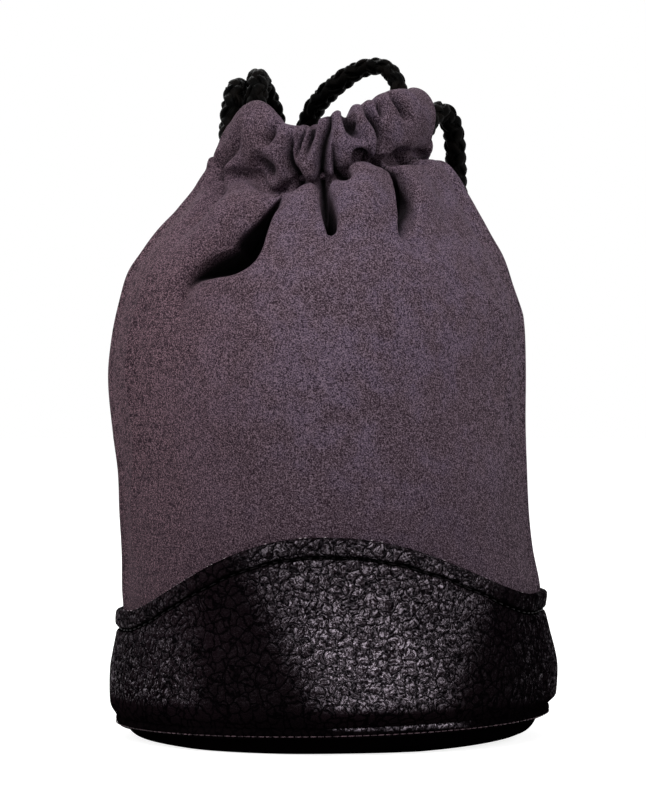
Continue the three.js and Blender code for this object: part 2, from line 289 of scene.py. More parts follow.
def through(t, first, last, slope_in, slope_out):
    """Smooth values between a first and a last one, with a slope at each of them."""
    return (
        (2 * t**3 - 3 * t**2 + 1) * first + (t**3 - 2 * t**2 + t) * slope_in
        + (3 * t**2 - 2 * t**3) * last + (t**3 - t**2) * slope_out
    )


def run_along(line):
    """How far along a line each of its points is."""
    return np.concatenate([[0], np.cumsum(np.linalg.norm(np.diff(line, axis=0), axis=1))])


def line_length(line):
    return float(run_along(line)[-1])


def smooth_line(points, step):
    """A line through the points in the way of a centripetal spline, with even steps."""
    points = np.asarray(points, float)
    padded_points = np.vstack([2 * points[0] - points[1], points, 2 * points[-1] - points[-2]])
    found = []
    for i in range(1, len(padded_points) - 2):
        p0, p1, p2, p3 = padded_points[i - 1:i + 3]
        d1, d2, d3 = (max(np.linalg.norm(b - a), 1e-6) ** 0.5 for a, b in ((p0, p1), (p1, p2), (p2, p3)))
        slope_in = d2 * ((p1 - p0) / d1 - (p2 - p0) / (d1 + d2) + (p2 - p1) / d2)
        slope_out = d2 * ((p2 - p1) / d2 - (p3 - p1) / (d2 + d3) + (p3 - p2) / d3)
        found.append(through(np.linspace(0, 1, 40, endpoint=False)[:, None], p1, p2, slope_in, slope_out))
    line = np.vstack([*found, points[-1:]])
    along = run_along(line)
    places = np.linspace(0, along[-1], max(2, round(along[-1] / step) + 1))
    return np.column_stack([np.interp(places, along, line[:, k]) for k in range(line.shape[1])])


def placed(turn, radius, up, lean=0):
    """Points at a turn from the front, a radius and a height, round a middle that may lean to the side."""
    return np.stack(np.broadcast_arrays(lean + radius * np.sin(turn), -radius * np.cos(turn), up), -1)


def frames_along(line):
    """Two directions across the line at each of its points, carried along it without twist."""
    ahead = np.gradient(line, axis=0)
    ahead /= np.linalg.norm(ahead, axis=1)[:, None]
    side = np.cross(ahead[0], (0.31, 0.2, 0.93))
    sides = []
    for direction in ahead:
        side = side - direction * side.dot(direction)
        side /= np.linalg.norm(side)
        sides.append(side)
    sides = np.array(sides)
    return sides, np.cross(ahead, sides)


def rings_piece(rings, closed_ends=True):
    """Points and faces of a tube through rings of points, an array of ring, place and axis."""
    count, around = rings.shape[:2]
    at = np.arange(count * around).reshape(count, around)
    here, there = at[:-1], at[1:]
    faces = np.stack([here, np.roll(here, -1, 1), np.roll(there, -1, 1), there], -1).reshape(-1, 4).tolist()
    if closed_ends:
        faces += [at[0][::-1].tolist(), at[-1].tolist()]
    return rings.reshape(-1, 3), faces


def join_parts(parts):
    points, faces, start = [], [], 0
    for part_points, part_faces in parts:
        points.append(part_points)
        faces += [[start + k for k in face] for face in part_faces]
        start += len(part_points)
    return np.vstack(points), faces


def new_piece(name, points, faces, finish, slot):
    """A smooth mesh from points in millimetres, in one finish. The slot is not used."""
    mesh = bpy.data.meshes.new(name)
    mesh.from_pydata((np.asarray(points) * MM).tolist(), [], faces)
    mesh.polygons.foreach_set("use_smooth", np.ones(len(mesh.polygons), bool))
    mesh.update()
    mesh.materials.append(finish)
    made = add_object(name, mesh)
    return made


def keep_on_body(piece, node):
    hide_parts(node)
    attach(piece, "root")


def plaited_cord(line, squeeze=1.0):
    """Yarns plaited over and under along a line, as many wound each way, thinner where they are squeezed."""
    sides, ups = frames_along(line)
    turned = 2 * np.pi * run_along(line) / plait_length
    rounds = 2 * np.pi * np.arange(yarn_section_points) / yarn_section_points
    ply = 1 + yarn_ply_depth * np.cos(3 * rounds + np.pi)
    squeeze = np.broadcast_to(squeeze, len(line))[:, None]
    parts = []
    for way in (1, -1):
        out = squeeze * (plait_radius + way * plait_wave * np.cos(yarns_each_way * turned))[:, None]
        for k in range(yarns_each_way):
            angle = (2 * np.pi * k / yarns_each_way + way * turned)[:, None]
            radial = np.cos(angle) * sides + np.sin(angle) * ups
            across = -np.sin(angle) * sides + np.cos(angle) * ups
            thick = out + squeeze * yarn_half_thickness * ply * np.cos(rounds)
            wide = squeeze * yarn_half_width * ply * np.sin(rounds)
            parts.append(rings_piece(
                line[:, None] + thick[..., None] * radial[:, None] + wide[..., None] * across[:, None]
            ))
    return join_parts(parts)


cord_finish, place = new_finish("black_plaited_cord")
# Paler random patches, partly wear and partly painted glints on the yarns
wear_and_glint = place.noise(260, 1)
set_surface(cord_finish, place.shader({
    "Base Color": wear_and_glint.between(0.35, 0.75).blend(seen_colour(1, 1, 1), seen_colour(9, 7, 6)),
    "Roughness": 0.35 + 0.2 * wear_and_glint, "IOR": 1.07, "Normal": place.noise(2600, 2).bump(0.5, 0.0002),
}))


def follow_lip(piece):
    """Bake a piece's place into its points."""
    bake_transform(piece)


pressed_from_start = 24
pressed_half_length = 13
pressed_depth = 0.2
free_strands = {}
for name, node, route in (
    ("left_loop_outer_cord", "left_strand_front", left_strand_front_route),
    ("left_loop_inner_cord", "left_strand_back", left_strand_back_route),
    ("middle_loop_cord", "right_strand_back", right_strand_back_route),
    ("right_fall_cord", "right_strand_front", right_strand_front_route),
):
    line = smooth_line(route, yarn_step)
    pressed_flat = 0
    if name == "middle_loop_cord":
        away = (np.arange(len(line)) * yarn_step - pressed_from_start) / pressed_half_length
        pressed_flat = pressed_depth * np.exp(-away**4)
    strand = new_piece(name, *plaited_cord(line, 1 - pressed_flat), cord_finish, "cord")
    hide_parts(node)
    follow_lip(strand)
    free_strands[name] = (strand, line)

channel_cord_radius = 19.0
channel_cord_lean = -1.4
channel_squeeze = 0.5
front_dip = 3.4
for side, first_point, last_point, dip in (
    ("front", left_strand_front_route[0], right_strand_front_route[0], front_dip),
    ("back", right_strand_back_route[0], left_strand_back_route[0], 0.0),
):
    ends = np.array([first_point, last_point], float)
    across = np.linspace(0, 1, 60)
    end_turns = np.unwrap(np.arctan2(ends[:, 0] - channel_cord_lean, -ends[:, 1]))
    end_radii = np.hypot(ends[:, 0] - channel_cord_lean, ends[:, 1])
    turns, radius, level = (
        first + (last - first) * across for first, last in (end_turns, end_radii, ends[:, 2])
    )
    radius = radius + (channel_cord_radius - radius) * (1 - (2 * across - 1) ** 8)
    level = level - dip * np.exp(-((across - 0.4) / 0.2) ** 2)
    line = smooth_line(placed(turns, radius, level, channel_cord_lean), yarn_step)
    squeezed = 1 - channel_squeeze * (1 - np.linspace(-1, 1, len(line)) ** 12)
    run = new_piece(f"{side}_channel_cord", *plaited_cord(line, squeezed), cord_finish, "cord")
    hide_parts(f"{side}_drawcord_run")
    follow_lip(run)

# Knots
# At each side the ends of the two cords are tied together behind the pouch: one end winds round
# the other in a barrel, is drawn through it, and both tails hang below, cut and sealed.
knot_wind_radius = 3.5
knot_winds = 2.3
knot_wind_pitch = 4.3
tail_reach = 7.5


def knotted_ends(left_end, right_end):
    """The two cords of a knot, from where the strands reach it to the ends of their tails."""
    left_end, right_end = np.array(left_end, float), np.array(right_end, float)
    middle = (left_end + right_end) / 2
    top = middle[2] - 2.6
    turns = np.linspace(0, 2 * np.pi * knot_winds, 26)
    wound = np.column_stack([
        middle[0] - knot_wind_radius * np.cos(turns),
        middle[1] - knot_wind_radius * 0.8 * np.sin(turns) - 0.2,
        top - knot_wind_pitch * turns / (2 * np.pi),
    ])
    low = wound[-1, 2]
    wound_tail = [
        (2.7, -1.2, low - 2.6), (3.4, -0.2, low - 2.8 - tail_reach * 0.5), (4.4, 0.3, low - 2.8 - tail_reach),
    ]
    straight = [
        (1.2, 0.4, top - 2), (0, 0.3, top - 6), (-1.2, 0.2, top - 10), (-2.6, 0.1, low - 3.4),
        (-4.0, 0.3, low - 2.2 - tail_reach),
    ]
    beside = np.array([middle[0], middle[1], 0])
    return [
        smooth_line(np.vstack([left_end, wound, beside + wound_tail]), yarn_step),
        smooth_line(np.vstack([right_end, beside + straight]), yarn_step),
    ]


def sealed_end(line):
    """The melted cap on a cord's cut end."""
    sides, ups = frames_along(line)
    ahead = line[-1] - line[-2]
    ahead /= np.linalg.norm(ahead)
    rounds = 2 * np.pi * np.arange(16) / 16
    rings = []
    for out, reach in ((2.15, -0.5), (2.3, 0.1), (2.1, 0.6), (1.5, 0.95), (0.6, 1.1)):
        ring = np.cos(rounds)[:, None] * sides[-1] + np.sin(rounds)[:, None] * ups[-1]
        lump = 1 + 0.05 * np.sin(3 * rounds + reach)
        rings.append(line[-1] + ahead * reach + ring * (out * lump)[:, None])
    return rings_piece(np.array(rings))


for name, node, first, second in (
    ("left_cord_knot", "left_knot", left_strand_front_route, left_strand_back_route),
    ("right_cord_knot", "right_knot", right_strand_back_route, right_strand_front_route),
):
    parts = []
    for line in knotted_ends(first[-1], second[-1]):
        parts += [plaited_cord(line), sealed_end(line)]
    knot = new_piece(name, *join_parts(parts), cord_finish, "cord")
    keep_on_body(knot, node)
    free_strands[name] = (knot, None)

for name, knot in (
    ("left_loop_outer_cord", "left_cord_knot"),
    ("left_loop_inner_cord", "left_cord_knot"),
    ("middle_loop_cord", "right_cord_knot"),
    ("right_fall_cord", "right_cord_knot"),
):
    strand, line = free_strands[name]
    tuple(line[0] * MM)
    (line[::4] * MM).tolist()

# Base
# A stiff board and a foam disc lie on a leather bottom panel that bulges a little. The panel is sewn to
# the foot with a leather covered piping in the seam, and a lining disc covers the foam.
piping_radius = 49.1
piping_half = 1.55
piping_height = 5.3
piping_tilt = 1.0
piping_right_lift = 0.5
rim_radius = 48.1
bottom_thickness = 1.4
bottom_rounding = 4.6
bottom_right_rise = 1.1
bottom_left_fullness = 0.92
round_steps = 256


def seam_height(turn):
    """The base seam is a little lower at the left of the front view than at its right."""
    return piping_height + piping_tilt * np.sin(turn) + piping_right_lift * np.maximum(np.sin(turn), 0) ** 2


def leather_finish(
    name, pebble_depth, grain_depth, lit_from, lit_to, lit_level, elsewhere, lean=(0.0, 0.0), tones=(12, 18),
):
    """Black grained leather with a painted sheen over one stretch of its front, brightest on slopes that face
    the upper left, and painted shade in its cracks, its stitch groove, at the right of its front and below
    the stretch's level.

    The stretch lies between two places across, which may lean with the height, and above a level. Both are
    in metres. The depths are shares of the bump, and the tones are the darkest and the palest colour.
    """
    finish, place = new_finish(name)
    across, deep, level = place.parts()
    wander = {0: place.noise(330, 3, out=1), "Scale": 0.0036}
    moved = place.moved_by(place.node("ShaderNodeVectorMath", {"operation": "SCALE"}, wander))
    # Places a little up and to the left, for the painted light from there
    above = moved.moved_by((-0.0002, 0.0, 0.00036))
    pebble, pebble_above, small_pebble = moved.cells(400), above.cells(400), moved.cells(1250)
    wrinkle, wrinkle_above = moved.noise(1500, 3), above.noise(1500, 3)
    grit, fine = moved.noise(2300, 2), moved.noise(3000, 2)
    upright = moved.stretched(1 / 0.3).noise(900, 3)
    slanting = moved.stretched(3.2, turn=52).noise(1500, 3)
    in_groove = place.mark("in_groove")

    front = (0 - deep).between(0, 0.02)
    past_left = (across + level * lean[0]).between(*lit_from)
    past_right = (across - level * lean[1]).between(*lit_to)
    facing = past_left * (1 - past_right) * front
    at_right = across.between(0.024, 0.042) * front
    at_far_right = across.between(0.038, 0.048) * front
    at_left = (1 - across.between(-0.038, -0.027)) * (1 - 0.65 * level.between(0.012, 0.032)) * front

    plates = pebble.between(0.01, 0.14)
    small_plates = small_pebble.between(0.0, 0.24)
    height = plates * (0.3 + 0.7 * facing) * pebble_depth + small_plates * (1 - 0.4 * facing) * grain_depth
    height = height + (wrinkle * 2 + fine + upright * at_right * 2 + slanting * at_left * 2) * grain_depth
    bump = height.bump(1.0, 0.0005)

    patchy = place.noise(45, 2)
    low_tone, high_tone = (seen_colour(tone, tone * 0.64, tone * 0.82) for tone in tones)
    colour = patchy.between(0.3, 0.7).blend(low_tone, high_tone)
    # Painted shade in the cracks between the pebbles
    colour = plates.blend(seen_colour(3, 2, 3), colour)
    # Painted shade over the right of the front
    colour = (at_right * 0.6).blend(colour, seen_colour(3, 2, 3))
    # Painted shade in the stitch groove
    colour = in_groove.between(0.1, 0.8).blend(colour, seen_colour(1, 1, 1))

    # Painted light from the upper left: the sheen is brighter on the slopes of pebbles and wrinkles that face
    # it
    rise = (pebble.between(0, 0.4) - pebble_above.between(0, 0.4)) * 0.75 + (wrinkle - wrinkle_above) * 1.8
    painted_light_upper_left = rise.between(-0.25, 0.45)
    # Grain spots the painted sheen, which fades towards the top and keeps only to slanting wrinkles at the
    # left
    glint_grain = (fine * 0.3 + grit * 0.7).between(0.45, 0.59)
    shine = (plates * 0.76 + 0.24) * (small_plates * 0.3 + 0.7) * (glint_grain * 0.95 + 0.05)
    shine = shine * (painted_light_upper_left + 0.22) * 1.25 * (1 - 0.45 * level.between(0.026, 0.042))
    shine = shine * (slanting.between(0.46, 0.6) * at_left + (1 - at_left))
    # Painted shade: no sheen in the stitch groove
    shine = shine * (1 - in_groove.between(0.1, 0.7) * 0.95)
    uneven = 0.6 + 0.4 * patchy.between(0.35, 0.6)
    # Painted sheen: laid where the highlights fall, over the stretch, on slanting wrinkles at the left and
    # upright ones at the far right, faintly on the back, and cut off below the level as painted shadow
    left_over = (1 - front) * (0.25 + 0.75 * uneven ** 2) * 0.6 + at_left + 0.03
    left_over = (left_over + upright.between(0.5, 0.62) * at_far_right * 0.4) * elsewhere
    painted_sheen = (facing * uneven + left_over * (1 - facing)) * level.between(*lit_level)
    dull = place.shader({"Base Color": colour, "Roughness": 0.8, "Specular IOR Level": 0.0, "Normal": bump})
    sheen_layer = place.shader({
        "Base Color": colour, "Roughness": 0.36, "IOR": 2.6, "Specular IOR Level": 0.5,
        "Specular Tint": (1.0, 0.86, 1.0, 1.0), "Normal": bump,
    })
    shine = place.sum("MINIMUM", shine * painted_sheen, 1.0)
    return set_surface(finish, place.node("ShaderNodeMixShader", sockets={0: shine, 1: dull, 2: sheen_layer}))


def turned_rings(profile, around=round_steps):
    """Rings of points round the pouch's middle from radius, height pairs, and the turns of their points."""
    turns = 2 * np.pi * np.arange(around) / around
    return np.array([placed(turns, out, up) for out, up in profile]), turns


# The bottom's very dark tones and scant sheen are painted shade on the underside
bottom_leather = leather_finish(
    "black_bottom_leather", pebble_depth=0.03, grain_depth=0.05, lit_from=(-0.04, 0.0), lit_to=(0.03, 0.04),
    lit_level=(0.006, 0.008), elsewhere=0.01, tones=(2, 4),
)
# A painted highlight streak: the piping's sheen lies on a short stretch right of the front
piping_leather = leather_finish(
    "black_piping_leather", pebble_depth=0.02, grain_depth=0.03, lit_from=(-0.002, 0.006),
    lit_to=(0.022, 0.032), lit_level=(0.0054, 0.0062), elsewhere=0.02, tones=(7, 11),
)

rounds = np.radians(np.linspace(0, 90, 14))
underside_radius = rim_radius - bottom_rounding
outer_profile = [(out, 0) for out in np.linspace(0.2, underside_radius, 22)]
outer_profile += [
    (underside_radius + bottom_rounding * math.sin(a), bottom_rounding * (1 - math.cos(a)))
    for a in rounds[1:]
]
outer_profile += [(rim_radius + 0.3, 5.4), (rim_radius + 0.3, 6.6)]
inner_profile = [
    (max(out - bottom_thickness, 0.2), max(up, 0) + bottom_thickness) for out, up in outer_profile
]
rings, turns = turned_rings(outer_profile + inner_profile[::-1])
share = np.clip(rings[..., 2] / 5, 0, 1)
rings[..., 2] += share * (seam_height(turns) - piping_height)[None, :]
out = np.hypot(rings[..., 0], rings[..., 1]) / rim_radius
degrees = np.degrees(np.arctan2(np.sin(turns), np.cos(turns)))
full = bottom_left_fullness * np.exp(-((degrees + 24) / 34) ** 4)
rings[..., 2] -= full[None, :] * np.where(out > 0.88, np.minimum(rings[..., 2], 2.4), 0) * (rings[..., 2] < 6)
raised = bottom_right_rise * np.clip((degrees - 26) / 45, 0, 1) * np.clip((165 - degrees) / 50, 0, 1)
rings[..., 2] += np.clip((out - 0.5) / 0.4, 0, 1) * raised[None, :]
bottom = new_piece("bottom_panel_leather", *rings_piece(rings[:, ::-1]), bottom_leather, "leather")
keep_on_body(bottom, "bottom_panel")

turns = 2 * np.pi * np.arange(round_steps) / round_steps
rounds = 2 * np.pi * np.arange(20) / 20
rings = []
for turn in turns:
    half = piping_half * (1 + 0.03 * math.sin(9 * turn) + 0.02 * math.sin(23 * turn + 1))
    lip = np.where(np.cos(rounds - 3.6) > 0.9, 0.25, 0)
    out = piping_radius + (half + lip) * np.cos(rounds)
    up = seam_height(turn) + (half + lip) * np.sin(rounds)
    rings.append(placed(turn, out, up))
points, faces = rings_piece(np.array(rings + rings[:1]), closed_ends=False)
piping = new_piece("base_piping_leather", points, faces, piping_leather, "leather")
keep_on_body(piping, "base_piping")

board_finish, place = new_finish("grey_board")
pulp = place.noise(900, 4)
set_surface(board_finish, place.shader({
    "Base Color": pulp.between(0.35, 0.7).blend(seen_colour(112, 98, 78), seen_colour(139, 123, 99)),
    "Roughness": 0.85, "Normal": pulp.bump(0.4, 0.0002),
}))
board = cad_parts["base_board"]
board.data.materials.clear()
board.data.materials.append(board_finish)

foam_finish, place = new_finish("grey_foam")
cell = place.cells(1700, "F1")
set_surface(foam_finish, place.shader({
    "Base Color": cell.between(0.1, 0.7).blend(seen_colour(120, 117, 113), seen_colour(152, 148, 143)),
    "Roughness": 0.95, "Normal": cell.bump(0.7, 0.0003),
}))

lining_finish, place = new_finish("dark_lining_cloth")
weave = [
    place.node("ShaderNodeTexWave", {"bands_direction": way}, {"Vector": place, "Scale": scale})
    for way, scale in (("Z", 620.0), ("DIAGONAL", 520.0))
]
slub = place.noise(300, 3)
set_surface(lining_finish, place.shader({
    "Base Color": slub.between(0.3, 0.7).blend(seen_colour(33, 31, 38), seen_colour(46, 43, 51)),
    "Roughness": 0.7, "Sheen Weight": 0.15, "Normal": (weave[0] * 0.5 + weave[1] * 0.5).bump(0.5, 0.00015),
}))


def crowned_disc(name, radius, low, high, crown, finish, slot):
    """A soft disc whose edge is rounded and whose middle stands up a little."""
    half = (high - low) / 2
    rim = [
        (radius - half + half * math.cos(a), low + half + half * math.sin(a))
        for a in np.radians(np.linspace(-90, 90, 9))
    ]
    profile = [(out, low) for out in np.linspace(0.2, radius - half, 12)[:-1]] + rim
    profile += [
        (out, high + crown * (1 - (out / radius) ** 2)) for out in np.linspace(radius - half, 0.2, 16)[1:]
    ]
    rings = turned_rings(profile, 96)[0]
    return new_piece(name, *rings_piece(rings[:, ::-1]), finish, slot)


foam_radius = 43.2
low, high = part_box("base_foam")
foam_disc = crowned_disc(
    "base_foam_disc", foam_radius, low[2] / MM, high[2] / MM, 0.15, foam_finish, "padding"
)
keep_on_body(foam_disc, "base_foam")

low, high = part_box("base_lining")
lining_disc = crowned_disc(
    "base_lining_disc", high[0] / MM, low[2] / MM, high[2] / MM, 0.4, lining_finish, "lining"
)
keep_on_body(lining_disc, "base_lining")
2 * high[0]
2 * high[0]
math.pi * high[0] ** 2

# Leather foot
# A front and a back panel of black pebbled leather stand about a millimetre proud of the suede. Their
# arched top edge is turned in and stitched, with a groove below it, and pale thread ends show along it.
seam_turn = math.radians(76)
panel_turns = (("front", -seam_turn, seam_turn), ("back", seam_turn, 2 * np.pi - seam_turn))
panel_radius = 49
foot_trim = 0.002
leather_skin = 1.1
leather_lift = 0.3
arch_height = 48
arch_side_height = 31.9
arch_half_turn = math.radians(72)
arch_tilt = 2.2
arch_fullness = 1.1
hem_depth = 4.4
hem_pillow = 0.45
groove_depth = 0.8
groove_half_width = 0.5
edge_roll = 0.75
edge_roll_height = 0.8
base_tuck = 1.1
base_tuck_height = 3.2
seam_tuck = 0.9
wrinkle_height = 0.14
wall_bottom = 7.4
pinch_height = 132

# Share of the height from base seam to neck, radius of the suede's face, and lean to the side
outline_rows = np.array([
    (-0.03, 49.0, -0.2), (0, 50.5, 0), (0.03, 50.9, 0.05), (0.07, 50.9, 0.15), (0.10, 50.3, 0.2),
    (0.14, 49.2, 0.1), (0.18, 48.6, -0.3), (0.215, 48.9, -0.3), (0.285, 48.1, -1.2), (0.36, 47.9, -1.9),
    (0.44, 47.9, -2.3), (0.51, 48.4, -3.0), (0.62, 49.2, -3.6), (0.70, 48.5, -3.4), (0.775, 46.4, -3.2),
    (0.815, 44.7, -3.1), (0.85, 42.0, -2.8), (0.89, 39.0, -2.4), (0.93, 35.4, -1.8), (0.965, 31.4, -1.5),
    (0.985, 28.4, -1.4), (0.995, 25.8, -1.4), (1.0, 23.3, -1.4),
])


def table_at(rows, place):
    """Smooth values of a table's columns at many places."""
    x = rows[:, 0]
    i = np.clip(np.searchsorted(x, place) - 1, 0, len(x) - 2)
    before, after = np.maximum(i - 1, 0), np.minimum(i + 2, len(x) - 1)
    step = x[i + 1] - x[i]
    t = np.clip((place - x[i]) / step, 0, 1)
    found = []
    for k in range(1, rows.shape[1]):
        y = rows[:, k]
        slope_in = (y[i + 1] - y[before]) / (x[i + 1] - x[before]) * step
        slope_out = (y[after] - y[i]) / (x[after] - x[i]) * step
        found.append(through(t, y[i], y[i + 1], slope_in, slope_out))
    return found


def smooth_rise(value, low, high):
    t = np.clip((value - low) / (high - low), 0, 1)
    return t * t * (3 - 2 * t)


def from_front(turn):
    return np.arctan2(np.sin(turn), np.cos(turn))


# Turn from the front in degrees, and the height of the stitch line under the cord channel
pinch_rows = np.array([
    (-180, 131), (-130, 131), (-100, 130.5), (-76, 130.5), (-60, 130.5), (-46, 129.5), (-34, 126),
    (-28, 126.3), (-22, 127.5), (-6, 127.7), (4, 128.2), (9, 129.4), (15, 132.4), (22, 132.2),
    (31, 131.4), (35, 132.6), (50, 133.3), (62, 135.1), (76, 135.4), (88, 134.2), (104, 131.8),
    (130, 131), (180, 131),
], float)


def pinch_at(turn):
    return table_at(pinch_rows, np.degrees(from_front(turn)))[0]


def arch_top(turn):
    from_middle = np.abs(from_front(turn))
    from_middle = np.minimum(from_middle, np.pi - from_middle)
    rise = np.minimum(from_middle / arch_half_turn, 1)
    bend = (1 + np.cos(np.pi * rise**arch_fullness)) / 2
    return arch_side_height + (arch_height - arch_side_height) * bend + arch_tilt * np.sin(turn) * rise


# Height, and how much slimmer the shoulder is than its table at the right and at the left
shoulder_rows = np.array([
    (98, 0, 0), (105, 1.2, 0), (112, 1.7, 0), (118, 2.0, 0.6), (122.5, 2.2, 1.4), (126.5, 2.0, 1.7),
    (129.5, 1.0, 1.7), (133, 0, 0.9), (137, 0, 0),
], float)


def shoulder_slack(turn, height):
    at_right, at_left = table_at(shoulder_rows, np.clip(height, shoulder_rows[0, 0], shoulder_rows[-1, 0]))
    side = np.sin(turn)
    return at_right * smooth_rise(side, 0.45, 0.95) + at_left * smooth_rise(-side, 0.45, 0.95)


def wall_face(turn, height, out):
    """Points of the wall at a turn and a height, moved out from the suede's face."""
    share = (height - wall_bottom) / (pinch_at(turn) - wall_bottom)
    radius, lean = table_at(outline_rows, share)
    radius = radius + out - shoulder_slack(turn, height)
    return placed(turn, radius, height, lean)


def wall_radius(turn, height):
    return table_at(outline_rows, (height - wall_bottom) / (pinch_at(turn) - wall_bottom))[0]


def closed_sheet(outer, inner):
    """Points and faces of a sheet between two grids of points that share their rows and columns."""
    columns, rows = outer.shape[:2]
    at = np.arange(columns * rows).reshape(columns, rows)
    back = at + columns * rows

    def quads(a, b, c, d):
        return np.stack([a.ravel(), b.ravel(), c.ravel(), d.ravel()], -1)

    faces = np.vstack([
        quads(at[:-1, :-1], at[1:, :-1], at[1:, 1:], at[:-1, 1:]),
        quads(back[:-1, :-1], back[:-1, 1:], back[1:, 1:], back[1:, :-1]),
        quads(at[:-1, 0], back[:-1, 0], back[1:, 0], at[1:, 0]),
        quads(at[:-1, -1], at[1:, -1], back[1:, -1], back[:-1, -1]),
        quads(at[0, :-1], at[0, 1:], back[0, 1:], back[0, :-1]),
        quads(at[-1, :-1], back[-1, :-1], back[-1, 1:], at[-1, 1:]),
    ])
    return np.vstack([outer.reshape(-1, 3), inner.reshape(-1, 3)]), faces.tolist()


def across_grid(grid):
    """The direction out of a grid of points at each of them."""
    along = np.gradient(grid, axis=0)
    up = np.gradient(grid, axis=1)
    out = np.cross(along, up)
    return out / np.maximum(np.linalg.norm(out, axis=2), 1e-9)[..., None]


def softened(out):
    """Directions evened out a little along each column of a grid."""
    out = out.copy()
    for _ in range(3):
        out[:, 1:-1] = (out[:, :-2] + 2 * out[:, 1:-1] + out[:, 2:]) / 4
    return out / np.linalg.norm(out, axis=2)[..., None]


def add_marks(piece, name, values):
    """Store a value at each point of a closed sheet, the same on both of its faces."""
    marks = piece.data.attributes.new(name, "FLOAT", "POINT")
    marks.data.foreach_set("value", np.concatenate([values.ravel(), values.ravel()]))


# The foot's painted sheen lies over the middle and right of the front, above the bottom's painted shadow
foot_leather = leather_finish(
    "pebbled_black_leather", pebble_depth=0.5, grain_depth=0.2, lit_from=(-0.002, 0.012),
    lit_to=(0.010, 0.026), lit_level=(0.0092, 0.0118), elsewhere=0.5, lean=(0.55, 0.4),
)
foot_columns = 260
foot_rows = 90


def foot_panel(first_turn, last_turn):
    turn = np.linspace(first_turn, last_turn, foot_columns)[:, None]
    share = np.linspace(0, 1, foot_rows)[None, :]
    low = seam_height(turn) + piping_half * 0.6
    top = arch_top(turn)
    height = low + (top - low) * share
    below_edge = top - height
    groove = np.exp(-((below_edge - hem_depth - 0.1 * np.sin(31 * turn)) / groove_half_width) ** 2)
    pillow = np.clip(1 - ((below_edge - hem_depth / 2) / (hem_depth / 2)) ** 2, 0, 1) ** 0.6
    from_edge = 1 - np.clip(below_edge / edge_roll_height, 0, 1)
    rolled = -edge_roll * (1 - np.sqrt(np.clip(1 - from_edge**2, 0, 1)))
    tucked = -(base_tuck + 0.5 * np.sin(turn)) * (1 - smooth_rise(height - low, 0, base_tuck_height)) ** 2
    soft = 0.16 * np.sin(5.3 * turn + height / 9) * np.sin(height / 7 - 2.1 * turn)
    from_seam = np.minimum(turn - first_turn, last_turn - turn) * panel_radius
    seam_roll = -seam_tuck * np.exp(-(from_seam / seam_tuck) ** 2)
    wrinkled = smooth_rise(np.sin(turn), 0.8, 0.95) * smooth_rise(below_edge, hem_depth, hem_depth + 2)
    wrinkled = wrinkled * smooth_rise(height, 6, 11) * (np.cos(turn) > -0.3)
    wrinkle = wrinkle_height * wrinkled * np.sin(np.degrees(turn) * 2.9 + 1.2 * np.sin(height / 5))
    out = leather_lift + leather_skin + rolled + tucked + soft + seam_roll + wrinkle
    out = out + hem_pillow * pillow - groove_depth * groove
    outer = wall_face(turn, height, out)
    inner = wall_face(turn, height, np.minimum(leather_lift, out - 0.25))
    return outer, inner, groove


for side, first_turn, last_turn in panel_turns:
    outer, inner, groove = foot_panel(first_turn + foot_trim, last_turn - foot_trim)
    piece = new_piece(f"foot_leather_{side}", *closed_sheet(outer, inner), foot_leather, "leather")
    # The groove's depth, which paints shade into it
    add_marks(piece, "in_groove", groove)
    keep_on_body(piece, f"leather_foot_{side}")


def thread_finish(name, twist, span, dark, pale, roughness, shine=0.5):
    """Thread whose two tones follow its twist, a noise's scale and detail."""
    finish, place = new_finish(name)
    colour = place.noise(*twist).between(*span).blend(seen_colour(*dark), seen_colour(*pale))
    return set_surface(finish, place.shader(
        {"Base Color": colour, "Roughness": roughness, "Specular IOR Level": shine}
    ))


pale_thread = thread_finish("pale_thread", (3200, 1), (0.3, 0.7), (112, 98, 104), (190, 180, 186), 0.6)
brown_thread = thread_finish("brown_thread", (900, 2), (0.35, 0.65), (22, 15, 18), (84, 68, 74), 0.6, 0.1)
black_thread = thread_finish("black_thread", (3200, 1), (0.3, 0.7), (8, 6, 8), (26, 22, 25), 0.5, 0.05)


def short_thread(start_point, end_point, half, out):
    """One stitch: a short thread that rises from the cloth and goes in again."""
    t = np.linspace(0, 1, 7)[:, None]
    line = start_point + (end_point - start_point) * t + out * (np.sin(np.pi * t) - 0.35)
    sides, ups = frames_along(line)
    rounds = (2 * np.pi * np.arange(6) / 6)[:, None]
    thick = half * (0.55 + 0.45 * np.sin(np.pi * t))[..., None]
    section = np.cos(rounds) * sides[:, None] + np.sin(rounds) * ups[:, None]
    return rings_piece(line[:, None] + thick * section)


def edge_stitches(first_turn, last_turn, below, out, step, length, half, rise, shown=None):
    """Stitches that follow the arched edge at a depth below it, or only the share of them that shows."""
    seed = np.random.default_rng(5)
    parts = []
    turn = first_turn + 0.01
    while turn < last_turn - 0.02:
        chance, stray = seed.uniform(0, 1), seed.uniform(0.4, 1.3)
        if shown is None or chance <= shown(turn):
            reach = length * (stray if shown is not None else 1)
            ends = np.array([turn, turn + reach / panel_radius])
            points = wall_face(ends, arch_top(ends) - below, out)
            parts.append(short_thread(*points, half, placed(turn, 1, 0) * rise))
        turn += step / panel_radius
    return join_parts(parts)


def thread_share(turn):
    """Most thread ends show at the left of the front, a few near its middle and hardly any at the right."""
    degrees = math.degrees(from_front(turn))
    return 0.04 + 0.8 * math.exp(-((degrees + 48) / 22) ** 2) + 0.3 * math.exp(-((degrees + 2) / 9) ** 2)


